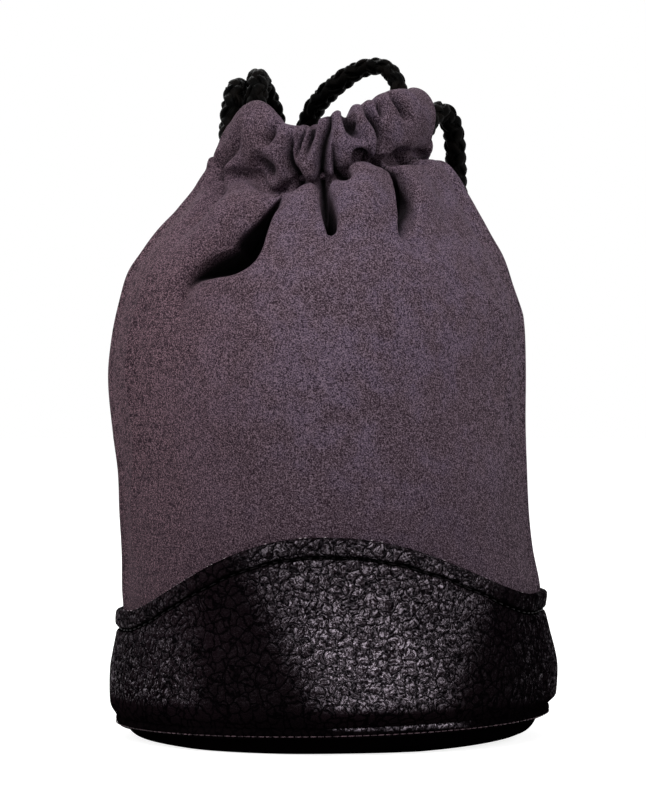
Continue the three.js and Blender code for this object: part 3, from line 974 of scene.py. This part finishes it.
base_stitch_radius = piping_radius + 1.4
base_stitch_drop = 0.85
base_stitch_length = 1.35
base_stitch_half = 0.12
base_stitch_rise = 0.1
base_stitch_count = 190
parts = []
for turn in 2 * np.pi * np.arange(base_stitch_count) / base_stitch_count:
    ends = np.array([turn, turn + base_stitch_length / base_stitch_radius])
    points = placed(ends, base_stitch_radius, seam_height(ends) - base_stitch_drop)
    parts.append(short_thread(*points, base_stitch_half, placed(turn, 1, 0) * base_stitch_rise))
base_thread = new_piece("base_seam_stitches", *join_parts(parts), brown_thread, "cord")
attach(base_thread, "root")

for side, first_turn, last_turn in panel_turns:
    hem_thread = edge_stitches(
        first_turn, last_turn, below=hem_depth, out=leather_lift + leather_skin - 0.75, step=2.6, length=1.9,
        half=0.2, rise=0.15,
    )
    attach(new_piece(f"hem_stitches_{side}", *hem_thread, black_thread, "cord"), "root")
    thread_ends = edge_stitches(
        first_turn, last_turn, below=-0.05, out=0.3, step=1.15, length=0.5, half=0.13, rise=0.16,
        shown=thread_share,
    )
    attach(new_piece(f"edge_thread_ends_{side}", *thread_ends, pale_thread, "cord"), "root")

# Suede body and cord channel
# A front and a back panel of purple-grey suede are sewn at the sides. The top of each is turned over inward
# and stitched down as a channel for its cord, and the drawn cords gather it into creases and deep folds.
suede_skin = 1.1
channel_middle_radius = 20.9
channel_lean = -1.4
channel_half_width = 4.2
channel_start = math.radians(-76)
channel_end = math.radians(244)
channel_half_turn = math.radians(79.5)
channel_turns = {
    "front": (-channel_half_turn, channel_half_turn),
    "back": (channel_half_turn + 0.03, 2 * np.pi - channel_half_turn - 0.03),
}
suede_columns = 380
wall_rows = 180
channel_rows = 76
hidden_under_leather = 6
channel_press_limit = 4.6
stitch_pull = 1.3
stitch_pull_reach = 0.9
seam_ridge = 0.45
seam_dip = 0.8
right_lobe = 0.9
# Fold depths at which the painted shade in the folds is full, on the wall and in the channel
dark_wall_depth = 7.5
dark_channel_depth = 4.4

# Behind the side seams the channel is slimmer between two turns in degrees, with a size for each side
slim_from = 81
slim_to = 126
slim_fade = 12
slim_half_heights = (3.1, 2.35)
slim_half_widths = (2.9, 1.35)

# Turn from the front in degrees, and the top of the channel
channel_top_rows = np.array([
    (-180, 144.4), (-168, 144.8), (-155, 143.8), (-140, 145.2), (-128, 145), (-100, 143), (-80, 142.6),
    (-70, 144.6), (-60, 146.6), (-49, 147.3), (-40, 146), (-33, 143.8), (-27, 141.8), (-20, 141.1),
    (-8, 141.3), (-4, 142.8), (2, 144.2), (9, 144.5), (12.5, 143.7), (17, 145.7), (24, 146.6),
    (33, 147.9), (41, 149.2), (55, 150.1), (66, 150.3), (78, 150.7), (100, 145.5), (128, 145.5),
    (140, 144.8), (152, 143.4), (165, 144), (180, 144.4),
], float)

# Height, and radius of the smooth cone that the left of the neck runs into
left_cone_rows = np.array([
    (118, 38.4), (122.8, 33.9), (126, 31.1), (128, 29.7), (130.3, 28.5), (132.1, 27.6), (133.6, 27.3),
    (135, 26.8), (137, 25.9), (139, 25.1), (142, 23.6),
], float)


def seen_at(column, row):
    """The turn and height on the body where the camera sees it at a pixel of the photograph."""
    turn, height = 0.0, 100.0
    for _ in range(30):
        pinch = float(pinch_at(np.array([turn]))[0])
        share = (height - wall_bottom) / (pinch - wall_bottom)
        radius, lean = (float(v[0]) for v in table_at(outline_rows, np.array([min(share, 0.975)])))
        if share > 1:
            radius, lean = channel_middle_radius + channel_half_width * 0.8, channel_lean
        reach = camera_distance - radius * math.cos(turn)
        height = camera_height + (picture_middle_row - row) * reach / focal_pixels
        across = ((column - middle_column) * reach / focal_pixels - lean) / radius
        turn = math.asin(max(-0.995, min(0.995, across)))
    return turn, height


class Press:
    """A line along which the cloth is drawn in, or stands out where its depth is below zero."""

    def __init__(self, path, depth, gap=0.2, reach=3.0, lip=(0, 0), roll=(0.8, 0.8), seen=True, straight=0.0):
        points = [seen_at(*p) if seen else (math.radians(p[0]), p[1]) for p in path]
        wide = np.array([(turn * 30, up) for turn, up in points])
        sizes = (depth, *self.pair(gap), *self.pair(reach))
        values = [np.broadcast_to(np.asarray(size, float), (len(path),)) for size in sizes]
        line = smooth_line(np.column_stack([wide, *values]), 1.6)
        self.turn, self.up, self.values = line[:, 0] / 30, line[:, 1], line[:, 2:]
        self.lip, self.roll, self.straight = lip, roll, straight

    @staticmethod
    def pair(value):
        return value if isinstance(value, tuple) else (value, value)

    def at(self, turn, up, radius):
        """The depth at each point, and the pull towards the line round and up."""
        best = np.full(turn.shape, 1e9)
        side = np.zeros(turn.shape)
        gone = np.zeros((2, *turn.shape))
        values = np.zeros((5, *turn.shape))
        for i in range(len(self.turn) - 1):
            away = np.stack([from_front(turn - self.turn[i]) * radius, up - self.up[i]])
            step_up = self.up[i + 1] - self.up[i]
            step = np.stack([(self.turn[i + 1] - self.turn[i]) * radius, step_up * np.ones_like(radius)])
            t = np.clip((away * step).sum(0) / np.maximum((step**2).sum(0), 1e-9), 0, 1)
            rest = away - t * step
            distance = np.hypot(*rest)
            nearer = distance < best
            best = np.where(nearer, distance, best)
            side = np.where(nearer, np.sign(step[0] * away[1] - step[1] * away[0]), side)
            gone = np.where(nearer, rest, gone)
            here, there = self.values[i:i + 2, :, None, None]
            values = np.where(nearer, here + t * (there - here), values)
        depth, gap_left, gap_right, reach_left, reach_right = values
        gap = np.where(side > 0, gap_left, gap_right)
        reach = np.maximum(np.where(side > 0, reach_left, reach_right), gap + 0.3)
        past = (best - gap) / (reach - gap)
        share = np.clip(past, 0, 1)
        round_shoulder = 1 - np.sqrt(np.clip(1 - (1 - share) ** 2, 0, 1))
        soft = (1 - share) ** 2 * (1 + 2 * share)
        roll = np.where(side > 0, *self.roll)
        drawn = depth * (roll * round_shoulder + (1 - roll) * soft)
        pull = np.where(side > 0, *self.lip) * smooth_rise(past, 0.1, 0.8)
        pull = pull * np.clip(np.abs(depth) / 10, 0, 1) * np.exp(-(np.maximum(best - reach, 0) / 5) ** 2)
        pull_round, pull_up = -pull * gone / np.maximum(np.hypot(*gone), 1e-6)
        return drawn, pull_round, pull_up


# Paths in pixels of the photograph. The left hand is the viewer's right on a path that runs down
front_presses = [
    # Slot between the middle panels, under the long channel crease
    Press([(322, 180), (324, 190), (327, 204), (330, 217), (331, 226), (331, 234)], [6, 13, 16, 15, 10, 0.2],
          [0.2, 0.6, 1.1, 1.15, 0.8, 0.1], [1.5, 1.9, 2.4, 2.4, 2.1, 1.7], lip=(0.5, 0.5), roll=(0.9, 0.9)),
    # Slot under the right lobe, with its left edge drawn over it
    Press(
        [(392, 163), (395, 176), (398, 190), (400, 205), (401, 217), (402, 229), (405, 242)],
        [6, 11, 13, 12.5, 10, 5, 0.2],
        ([0.6, 1.2, 1.4, 1.4, 1.0, 0.4, 0.1], [0.5, 0.8, 0.9, 0.9, 0.7, 0.4, 0.1]),
        ([3, 4.2, 4.8, 4.8, 4.4, 3.6, 3], [1.8, 2.2, 2.3, 2.3, 2.3, 2.2, 2]), lip=(0, 1.2), roll=(0.7, 0.95),
        straight=0.4,
    ),
    # Great hollow under the left lobe, which runs down from the channel, turns left and fades
    Press(
        [(277, 202), (268, 217), (262, 232), (257, 248), (249, 260), (235, 268), (215, 272), (197, 278),
         (186, 293),
         (180, 314), (177, 340)],
        [5, 12, 16.5, 18, 17.5, 14.5, 10.5, 6.5, 3.2, 1.4, 0.1],
        ([0.3] * 8 + [0.2] * 3,
         [1.0, 2.0, 4.0, 5.2, 4.8, 3.4, 1.8, 0.9, 0.5, 0.2, 0.2]),
        ([2.0, 2.0, 2.0, 2.1, 2.2, 2.4, 2.6, 3.0, 4.5, 5.5, 6], [4, 6.5, 10, 12, 12.5, 12, 11, 9.5, 8, 7, 6]),
        lip=(0.8, 1.6), roll=(0.92, 0.75), straight=0.85,
    ),
    # Long soft valley outside the left lobe
    Press([(240, 130), (236, 148), (227, 166), (210, 190), (188, 218), (168, 250)],
          [0.8, 2.8, 4.2, 3.6, 1.8, 0.1],
          0.4, ([2.6, 3.6, 4.4, 5, 6, 6], [2.2, 2.8, 3.4, 4.4, 6, 6]), roll=(0.4, 0.4)),
    # Creases across the channel
    Press([(275, 122), (271, 132), (267, 140), (264, 148)], [1.2, 4.2, 3.6, 0.3], 0.22, 2.2),
    Press([(290, 132), (289, 142), (288, 161), (291, 184)], [1.6, 5.0, 6.0, 5.5],
          [0.15, 0.35, 0.45, 0.5], 2.6),
    Press([(303, 122), (300, 132), (297, 146), (294, 162)], [2.4, 4.6, 4.2, 0.8], 0.25, 2.0),
    Press([(311, 112), (310, 124), (308, 140), (306, 158)], [2.6, 5.0, 4.6, 0.8], 0.25, 2.0),
    Press([(329, 104), (327, 120), (324, 142), (322, 184)], [3.0, 5.5, 6.0, 7], [0.2, 0.3, 0.4, 0.5], 2.8),
    Press([(332, 138), (335, 158), (340, 172), (348, 177)], [0.8, 4.0, 5.2, 4.0], [0.1, 0.3, 0.6, 0.5], 2.4),
    Press([(346, 106), (349, 118), (353, 130), (360, 138)], [1.6, 5.0, 5.5, 2.0], [0.2, 0.5, 0.8, 0.3], 2.6,
          lip=(0, 0.4)),
    Press([(366, 100), (372, 114), (379, 127), (383, 144), (389, 164)], [2.2, 5.2, 5.4, 5.4, 6.0],
          [0.15, 0.3, 0.35, 0.35, 0.45], 2.5),
    Press([(380, 96), (382, 106), (384, 119)], [2.0, 5.0, 0.8], 0.25, 1.8),
    Press([(396, 93), (400, 102), (404, 112), (408, 121)], [1.2, 6.0, 6.0, 0.8], [0.2, 0.55, 0.65, 0.2], 2.2),
    # Hollows where the channel overhangs the panels
    Press([(353, 158), (358, 154), (366, 155), (376, 163)], [1.6, 5, 5, 2.4], [0.2, 0.6, 0.6, 0.3], 1.6),
    Press([(396, 158), (401, 155), (409, 154), (415, 158)], [1.6, 5, 4.6, 1.4], [0.3, 0.7, 0.6, 0.3], 2.0),
    # Dimple beside the left lobe
    Press([(258, 166), (265, 170)], [4.4, 4.4], [0.8, 0.8], [3.9, 3.9], roll=(0.4, 0.4)),
    # Shallow crease right of the slot
    Press([(406, 240), (416, 249), (431, 262)], [0.6, 1.2, 0.1], 0.15, 2.0),
    # Ridges inside both sides, where the padding ends under the suede
    Press([(433, 262), (456, 272), (476, 286), (502, 320), (509, 362), (510, 400), (517, 444),
           (517, 480), (526, 532)],
          [-0.2, -0.5, -0.9, -1.0, -0.9, -0.7, -0.8, -0.7, -0.2], 0.3, ([2.2] * 9, [5] * 9), roll=(0.5, 0.5)),
    Press([(146, 276), (135, 320), (129, 367), (131, 400), (135, 438), (133, 480), (132, 551)],
          [-0.2, -0.8, -1.0, -0.8, -0.8, -0.7, -0.2], 0.3, ([5] * 7, [2.2] * 7), roll=(0.5, 0.5)),
    # Crowns of the panels between the folds
    Press([(303, 186), (300, 204), (298, 232)], [-1.0, -1.6, -0.4], 0.6, 5, roll=(0, 0)),
    Press([(358, 178), (361, 200), (364, 232)], [-1.4, -2.2, -0.4], 1.4, 7.5, roll=(0, 0)),
    Press([(420, 176), (428, 196), (436, 224)], [-0.6, -1.2, -0.2], 1, 6, roll=(0, 0)),
    Press([(262, 188), (246, 200), (226, 212), (200, 230)], [-0.6, -2.2, -2.8, -0.8], 1, 6.5, roll=(0, 0)),
]

# Folds of the sides and the back, which are guessed: the path in degrees round from the front and millimetres
# up, then the depths, the gap and the reach
side_folds = [
    ([(-96, 131), (-98, 118), (-104, 100)], [3.5, 2.6, 0.1], 0.4, [4, 6, 8]),
    ([(96, 132), (100, 118), (99, 104)], [3.5, 2.4, 0.1], 0.4, [4, 6, 7]),
    ([(72, 134), (68, 122), (66, 106)], [1.6, 1.6, 0.1], 0.4, [4, 6, 7]),
]
back_folds = [
    ([(112, 150), (114, 132), (112, 121), (108, 108)], [1.5, 4.5, 4, 0.1], [0.2, 0.5, 0.6, 0.2],
     [2.4, 4, 5, 5]),
    ([(128, 158), (127, 141), (130, 132)], [1.6, 2.8, 3], 0.25, 2.6),
    ([(130, 132), (131, 122), (128, 106), (122, 92)], [3.4, 5.5, 3, 0.1], [0.3, 1.0, 0.6, 0.2], [3, 4, 7, 8]),
    ([(141, 158), (143, 142), (142, 132)], [2, 2.8, 2.8], 0.2, 2.4),
    ([(152, 158), (151, 144), (155, 131)], [1.4, 3, 3.6], 0.3, 2.6),
    ([(155, 131), (156, 120), (160, 108)], [4, 6, 0.3], [0.3, 1.1, 0.4], [3, 4.5, 4]),
    ([(166, 158), (165, 146), (170, 136)], [2.6, 3, 0.4], [0.2, 0.6, 0.2], 2.4),
    ([(178, 158), (176, 142), (178, 131)], [2, 2.6, 3.2], 0.2, 2.4),
    ([(178, 131), (180, 121), (184, 104), (192, 92)], [3.6, 5, 3, 0.1], [0.3, 0.9, 0.5, 0.2], [3, 4, 7, 8]),
    ([(190, 158), (191, 144), (188, 133)], [1.6, 2.8, 2.8], 0.25, 2.6),
    ([(203, 158), (202, 143), (205, 131)], [2, 3.2, 3.6], 0.25, 2.6),
    ([(205, 131), (206, 121), (204, 107)], [4, 6, 0.3], [0.3, 1.1, 0.4], [3, 4.5, 5]),
    ([(216, 158), (218, 144), (217, 133)], [1.6, 2.8, 2.8], 0.25, 2.6),
    ([(230, 158), (229, 142), (232, 131)], [2.2, 3.0, 3.6], 0.25, 2.6),
    ([(232, 131), (233, 119), (238, 102), (243, 88)], [4, 6, 3, 0.1], [0.3, 1.1, 0.6, 0.2], [3, 4.5, 7, 8]),
    ([(248, 150), (247, 132), (250, 120), (252, 110)], [1.5, 4.2, 3.4, 0.1], [0.2, 0.5, 0.6, 0.2],
     [2.4, 4, 5, 5]),
]


def guessed_presses(folds):
    return [Press(*fold, seen=False) for fold in folds]


# The presses of each panel
presses = {
    "front": front_presses + guessed_presses(side_folds),
    "back": guessed_presses(back_folds + side_folds),
}

ripple_seed = np.random.default_rng(11)
ripples = [
    (ripple_seed.uniform(1, 4.6), ripple_seed.uniform(0.03, 0.16) * ripple_seed.choice([-1, 1]),
     ripple_seed.uniform(0, 6.28), ripple_seed.uniform(0.05, 0.12))
    for _ in range(14)
]


def pressed(turns, ups, radius, side):
    """How deep the presses draw the cloth in, how straight back, how they raise it, and their lips' pull."""
    valleys, straight, ridges, pull_round, pull_up = (np.zeros(turns.shape) for _ in range(5))
    for press in presses[side]:
        drawn, sideways, upwards = press.at(turns, ups, radius)
        valleys += np.maximum(drawn, 0) ** 3
        straight += press.straight * np.clip(drawn / 3, 0, 1)
        ridges += np.maximum(-drawn, 0)
        pull_round += sideways
        pull_up += upwards
    return np.cbrt(valleys), np.minimum(straight, 1), ridges, pull_round, pull_up


def drawn_way(out, straight):
    """The way a fold is drawn in: square to the wall, or straight back from the front."""
    way = out * (1 - straight)[..., None]
    way[..., 1] -= straight
    return way / np.linalg.norm(way, axis=2)[..., None]


def channel_ring(turn, swing):
    """Points of the channel as it swings up, over and down inside, and how far up the cloth they are."""
    degrees = np.degrees(from_front(turn))
    foot = pinch_at(turn)
    full = 1 - smooth_rise(slim_to - np.abs(degrees), 0, slim_fade) * (np.abs(degrees) > slim_from)
    end_high = np.where(degrees > 0, *slim_half_heights)
    end_wide = np.where(degrees > 0, *slim_half_widths)
    full_high = np.maximum(table_at(channel_top_rows, degrees)[0] - foot, 4) / 2
    half_high = end_high + (full_high - end_high) * full
    half_wide = end_wide + (channel_half_width - end_wide) * full
    lobe = right_lobe * smooth_rise(degrees, 48, 70) * full * smooth_rise(np.sin(swing), -0.9, 0.5)
    radius = channel_middle_radius + (1 - full) * 0.8 + half_wide * np.cos(swing)
    radius = radius + lobe * np.maximum(np.cos(swing), 0)
    up = foot + half_high + half_high * np.sin(swing)
    run_up = np.where(swing <= np.pi / 2, up, 2 * foot + 4 * half_high - up)
    return placed(turn, radius, up, channel_lean), run_up


def suede_grid(first_turn, last_turn, side):
    """The suede's two faces, up the wall and round the channel, and how deep in a fold each point is, for the
    painted shade in the folds.
    """
    channel_first, channel_last = channel_turns[side]
    across = np.linspace(0, 1, suede_columns)[:, None]
    climb = 1 - (1 - np.linspace(0, 1, wall_rows)[None, :]) ** 1.45
    gathered = smooth_rise(climb, 0.84, 1)
    first = first_turn + (channel_first - first_turn) * gathered
    last = last_turn + (channel_last - last_turn) * gathered
    turn = first + (last - first) * across
    low = arch_top(turn) - hidden_under_leather
    height = low + (pinch_at(turn) - low) * climb
    ring_turn = (channel_first + (channel_last - channel_first) * across) * np.ones((1, channel_rows))
    swing = np.linspace(channel_start, channel_end, channel_rows)[None, :]
    ring, ring_up = channel_ring(ring_turn, swing)
    grid = np.concatenate([wall_face(turn, height, 0), ring], 1)
    turns = np.concatenate([turn, ring_turn], 1)
    ups = np.concatenate([height, ring_up], 1)

    # The left of the neck is a smooth cone
    outward = placed(turns, 1, np.zeros(turns.shape))
    around = np.degrees(from_front(turns))
    plain_side = (1 - smooth_rise(around, -68, -50)) * smooth_rise(around, -150, -110)
    reached = np.hypot(grid[..., 0] - channel_lean, grid[..., 1])
    cone = table_at(left_cone_rows, np.clip(ups, left_cone_rows[0, 0], left_cone_rows[-1, 0]))[0]
    on_wall = np.ones((1, wall_rows))
    outside = np.concatenate([on_wall, 1 - smooth_rise(swing, 0.7, 1.5)], 1)
    smooth_part = plain_side * outside * smooth_rise(ups, 119, 124) * (1 - smooth_rise(ups, 139, 142))
    grid = grid + outward * (smooth_part * np.maximum(cone - reached, 0))[..., None]

    # Folds, the pull of the stitches, soft ripples and the rolled seams, all weaker inside the channel
    out = softened(across_grid(grid))
    radius = np.hypot(grid[..., 0] - channel_lean, grid[..., 1])
    valleys, straight, moved, pull_round, pull_up = pressed(turns, ups, radius, side)
    valleys[:, wall_rows:] = channel_press_limit * np.tanh(valleys[:, wall_rows:] / channel_press_limit)
    from_stitches = (ups - pinch_at(turns)) / stitch_pull_reach
    moved = moved - stitch_pull * (1 - plain_side) * np.exp(-from_stitches**2)
    share = np.clip((ups - wall_bottom) / (pinch_height - wall_bottom), 0, 1.1)
    soft = sum(size * np.sin(count * turns + slope * ups + phase) for count, slope, phase, size in ripples)
    moved = moved + soft * smooth_rise(ups, 40, 60) * (1 - 0.6 * smooth_rise(share, 0.97, 1.0))
    seam_away = np.minimum(turns - turns[:1], turns[-1:] - turns) * np.minimum(radius, panel_radius)
    moved = moved + seam_ridge * np.exp(-((seam_away - 1.7) / 1.1) ** 2)
    moved = moved - seam_dip * np.exp(-(seam_away / 0.7) ** 2)
    eased = 1 - 0.66 * smooth_rise(swing, 0.6, 1.5) - 0.22 * smooth_rise(swing, 1.6, 2.4)
    inside = np.concatenate([on_wall, eased], 1)[..., None]
    shift = out * moved[..., None] - drawn_way(out, straight) * valleys[..., None]
    round_way = placed(turns + np.pi / 2, 1, 0)
    shift = shift + round_way * pull_round[..., None]
    shift[..., 2] += pull_up
    grid = grid + shift * inside
    for _ in range(2):
        beside = grid[:-2, 1:-1] + grid[2:, 1:-1] + grid[1:-1, :-2] + grid[1:-1, 2:]
        grid[1:-1, 1:-1] = (grid[1:-1, 1:-1] * 2 + beside) / 6

    backwards = across_grid(grid) * (1 - smooth_part)[..., None] + outward * smooth_part[..., None]
    backwards = backwards / np.maximum(np.linalg.norm(backwards, axis=2), 0.2)[..., None]
    # Each point's fold depth as a share of the depth where its painted fold shade is full
    dark_depth = np.concatenate([on_wall * dark_wall_depth, np.full(swing.shape, dark_channel_depth)], 1)
    return grid, grid - backwards * suede_skin, valleys / dark_depth


suede_finish, place = new_finish("purple_grey_suede")
across, _, level = place.parts()
blotch, patch, brushed, fleck = (
    place.noise(*grain) for grain in ((48, 3), (190, 3, 0.55), (900, 2, 0.6), (3400, 2, 0.7))
)
tick = place.stretched(2.8, turn=-35).noise(2400, 1)
at_left = 1 - across.between(-0.05, 0.0)
at_sides = across.between(0.026, 0.044) + (1 - across.between(-0.046, -0.026))
# Painted shade: the suede darkens towards the bottom
painted_low_shade = (1 - level.between(0.034, 0.08)) * 0.62
bluer = across.between(-0.03, 0.012) * (1 - across.between(0.02, 0.045))
hue = (blotch * 0.5 + patch * 0.5).between(0.4, 0.6) * 0.75 + bluer * 0.25
suede_colour = hue.blend(seen_colour(86, 69, 76), seen_colour(86, 73, 89))
for amount, colour in (
    (at_left * 0.75, (76, 58, 63)),
    (painted_low_shade, (44, 32, 38)),
    # Painted shade on the upper left lobe
    (at_left * level.between(0.122, 0.136) * 0.9, (50, 38, 44)),
):
    suede_colour = amount.blend(suede_colour, seen_colour(*colour))
shade = (brushed * 0.4 + patch * 0.3 + blotch * 0.3).between(0.4, 0.58)
suede_colour = (shade * 0.75 + 0.25).blend(seen_colour(60, 47, 55), suede_colour)
# Light fibres and, further on, dark dots are stronger at the sides, as painted grazing light on the nap
light_fibres = (fleck + at_sides * 0.015).between(0.5, 0.64) * (0.8 + at_sides * 0.2)
fibre_colour = at_left.blend(seen_colour(126, 109, 121), seen_colour(126, 99, 108))
suede_colour = light_fibres.blend(suede_colour, fibre_colour)
coarse = fleck * (1 - at_sides * 0.4) + brushed * (at_sides * 0.4)
dots = 1 - (tick - at_sides * 0.035).between(0.31, 0.37)
for amount, colour in (
    (1 - (coarse - at_sides * 0.05).between(0.38, 0.5), (29, 19, 26)),
    (dots * (0.6 + 0.25 * at_sides), (30, 22, 27)),
    (painted_low_shade * 0.42, (34, 24, 30)),
    # Painted shade deep in the folds
    (place.mark("in_fold").between(0.3, 0.95), (4, 3, 4)),
):
    suede_colour = amount.blend(suede_colour, seen_colour(*colour))
set_surface(suede_finish, place.shader({
    "Base Color": suede_colour, "Roughness": 0.95, "Specular IOR Level": 0.06, "Sheen Weight": 0.06,
    "Sheen Roughness": 0.5, "Sheen Tint": seen_colour(190, 170, 185),
    "Normal": (fleck + brushed).bump(0.8, 0.0003),
}))

# Dark thread holds the channel down, with pale spots painted on it as glints here and there
stitch_columns = 9
stitch_stand = 0.1
stitch_half = 0.16
stitch_rise = 0.12
stitched_fold = 0.35
stitched_from = -22
glinting_thread = thread_finish(
    "glinting_thread", (420, 1), (0.6, 0.66), (26, 20, 25), (176, 166, 172), 0.5, 0.1
)

suede_trim = 0.0035
for side, first_turn, last_turn in panel_turns:
    name = f"suede_panel_{side}"
    first, last = first_turn + suede_trim, last_turn - suede_trim
    outer, inner, in_fold = suede_grid(first, last, side)
    panel = new_piece(name, *closed_sheet(outer, inner), suede_finish, "suede")
    # The fold depths, which paint shade into the folds
    add_marks(panel, "in_fold", in_fold)
    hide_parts(f"suede_{side}", f"cord_channel_{side}")
    follow_lip(panel)
    flat_size = ((last - first) * panel_radius * MM, line_length(outer[suede_columns // 2]) * MM)
    pinch_line = outer[:, wall_rows - 1]
    out_line = across_grid(outer)[:, wall_rows - 4]
    parts = []
    for k in range(4, suede_columns - 9, stitch_columns):
        degrees = math.degrees(first + (last - first) * k / suede_columns)
        deepest = in_fold[k - 2:k + 7, wall_rows - 4:wall_rows + 4].max()
        if deepest <= stitched_fold and degrees >= stitched_from:
            ends = pinch_line[[k, k + 4]] + out_line[[k, k + 4]] * stitch_stand
            parts.append(short_thread(*ends, stitch_half, out_line[k] * stitch_rise))
    stitches = new_piece(f"{name}_channel_stitches", *join_parts(parts), glinting_thread, "cord")
    follow_lip(stitches)

# Wall padding and lining
# A thin foam stands inside the suede up to the shoulder, and a dark lining cloth covers it and goes on up
# to the stitch line of the channel, gathered with the suede.
padding_top = 98
padding_skin = 2
padding_depth = 1.6
padding_radius = 47
lining_top = 128.5
lining_skin = 0.5
lining_depth = 4.0
lining_neck_depth = 3.4
lining_radius = 46
inner_trim = 0.004


def largest_near(field, columns, rows):
    """The largest value within some columns and rows of each point of a grid."""
    wide = np.pad(field, ((columns, columns), (rows, rows)), mode="edge")
    found = field
    for i in range(2 * columns + 1):
        for j in range(2 * rows + 1):
            found = np.maximum(found, wide[i:i + field.shape[0], j:j + field.shape[1]])
    return found


def inner_layer(first_turn, last_turn, columns, rows, top, depth, side):
    """A layer behind the suede, which every fold of the suede pushes in as well."""
    turn = np.linspace(first_turn, last_turn, columns)[:, None]
    share = np.linspace(0, 1, rows)[None, :]
    height = wall_bottom + (top - wall_bottom) * (1 - (1 - share) ** 1.2)
    turn, height = turn * np.ones_like(height), height * np.ones_like(turn)
    valleys, straight = pressed(turn, height, wall_radius(turn, height), side)[:2]
    valleys, straight = largest_near(valleys, 5, 3), largest_near(straight, 5, 3)
    wall = wall_face(turn, height, 0)
    out = softened(across_grid(wall))
    face = wall - out * depth(height)[..., None] - drawn_way(out, straight) * valleys[..., None]
    return face, turn, height


for side, first_turn, last_turn in panel_turns:
    first, last = first_turn + inner_trim, last_turn - inner_trim
    columns = 180 if side == "front" else 240
    face, turn, height = inner_layer(
        first, last, columns, 80, padding_top, lambda h: np.full(h.shape, padding_depth), side
    )
    away = np.minimum(np.minimum(turn - first, last - turn) * padding_radius, padding_top - height)
    thin = padding_skin * np.sqrt(np.clip(1 - (1 - np.clip(away / 2, 0.02, 1)) ** 2, 0, 1))
    inner = face - across_grid(face) * thin[..., None]
    foam = new_piece(f"wall_foam_{side}", *closed_sheet(face, inner), foam_finish, "padding")
    keep_on_body(foam, f"wall_padding_{side}")

    face, turn, height = inner_layer(
        first, last, columns, 110, lining_top,
        lambda h: lining_depth + (lining_neck_depth - lining_depth) * smooth_rise(h, 97, 104), side,
    )
    drawn = smooth_rise(height, 104, 127)
    gathers = drawn * (1.6 * np.sin(19 * turn + 0.6) + 0.8 * np.sin(41 * turn + 2))
    face = face - across_grid(face) * (2.2 * drawn + gathers)[..., None]
    inner = face - across_grid(face) * lining_skin
    lining = new_piece(f"lining_cloth_{side}", *closed_sheet(face, inner), lining_finish, "lining")
    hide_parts(f"lining_{side}")
    follow_lip(lining)
    flat_size = ((last - first) * lining_radius * MM, line_length(face[columns // 2]) * MM)
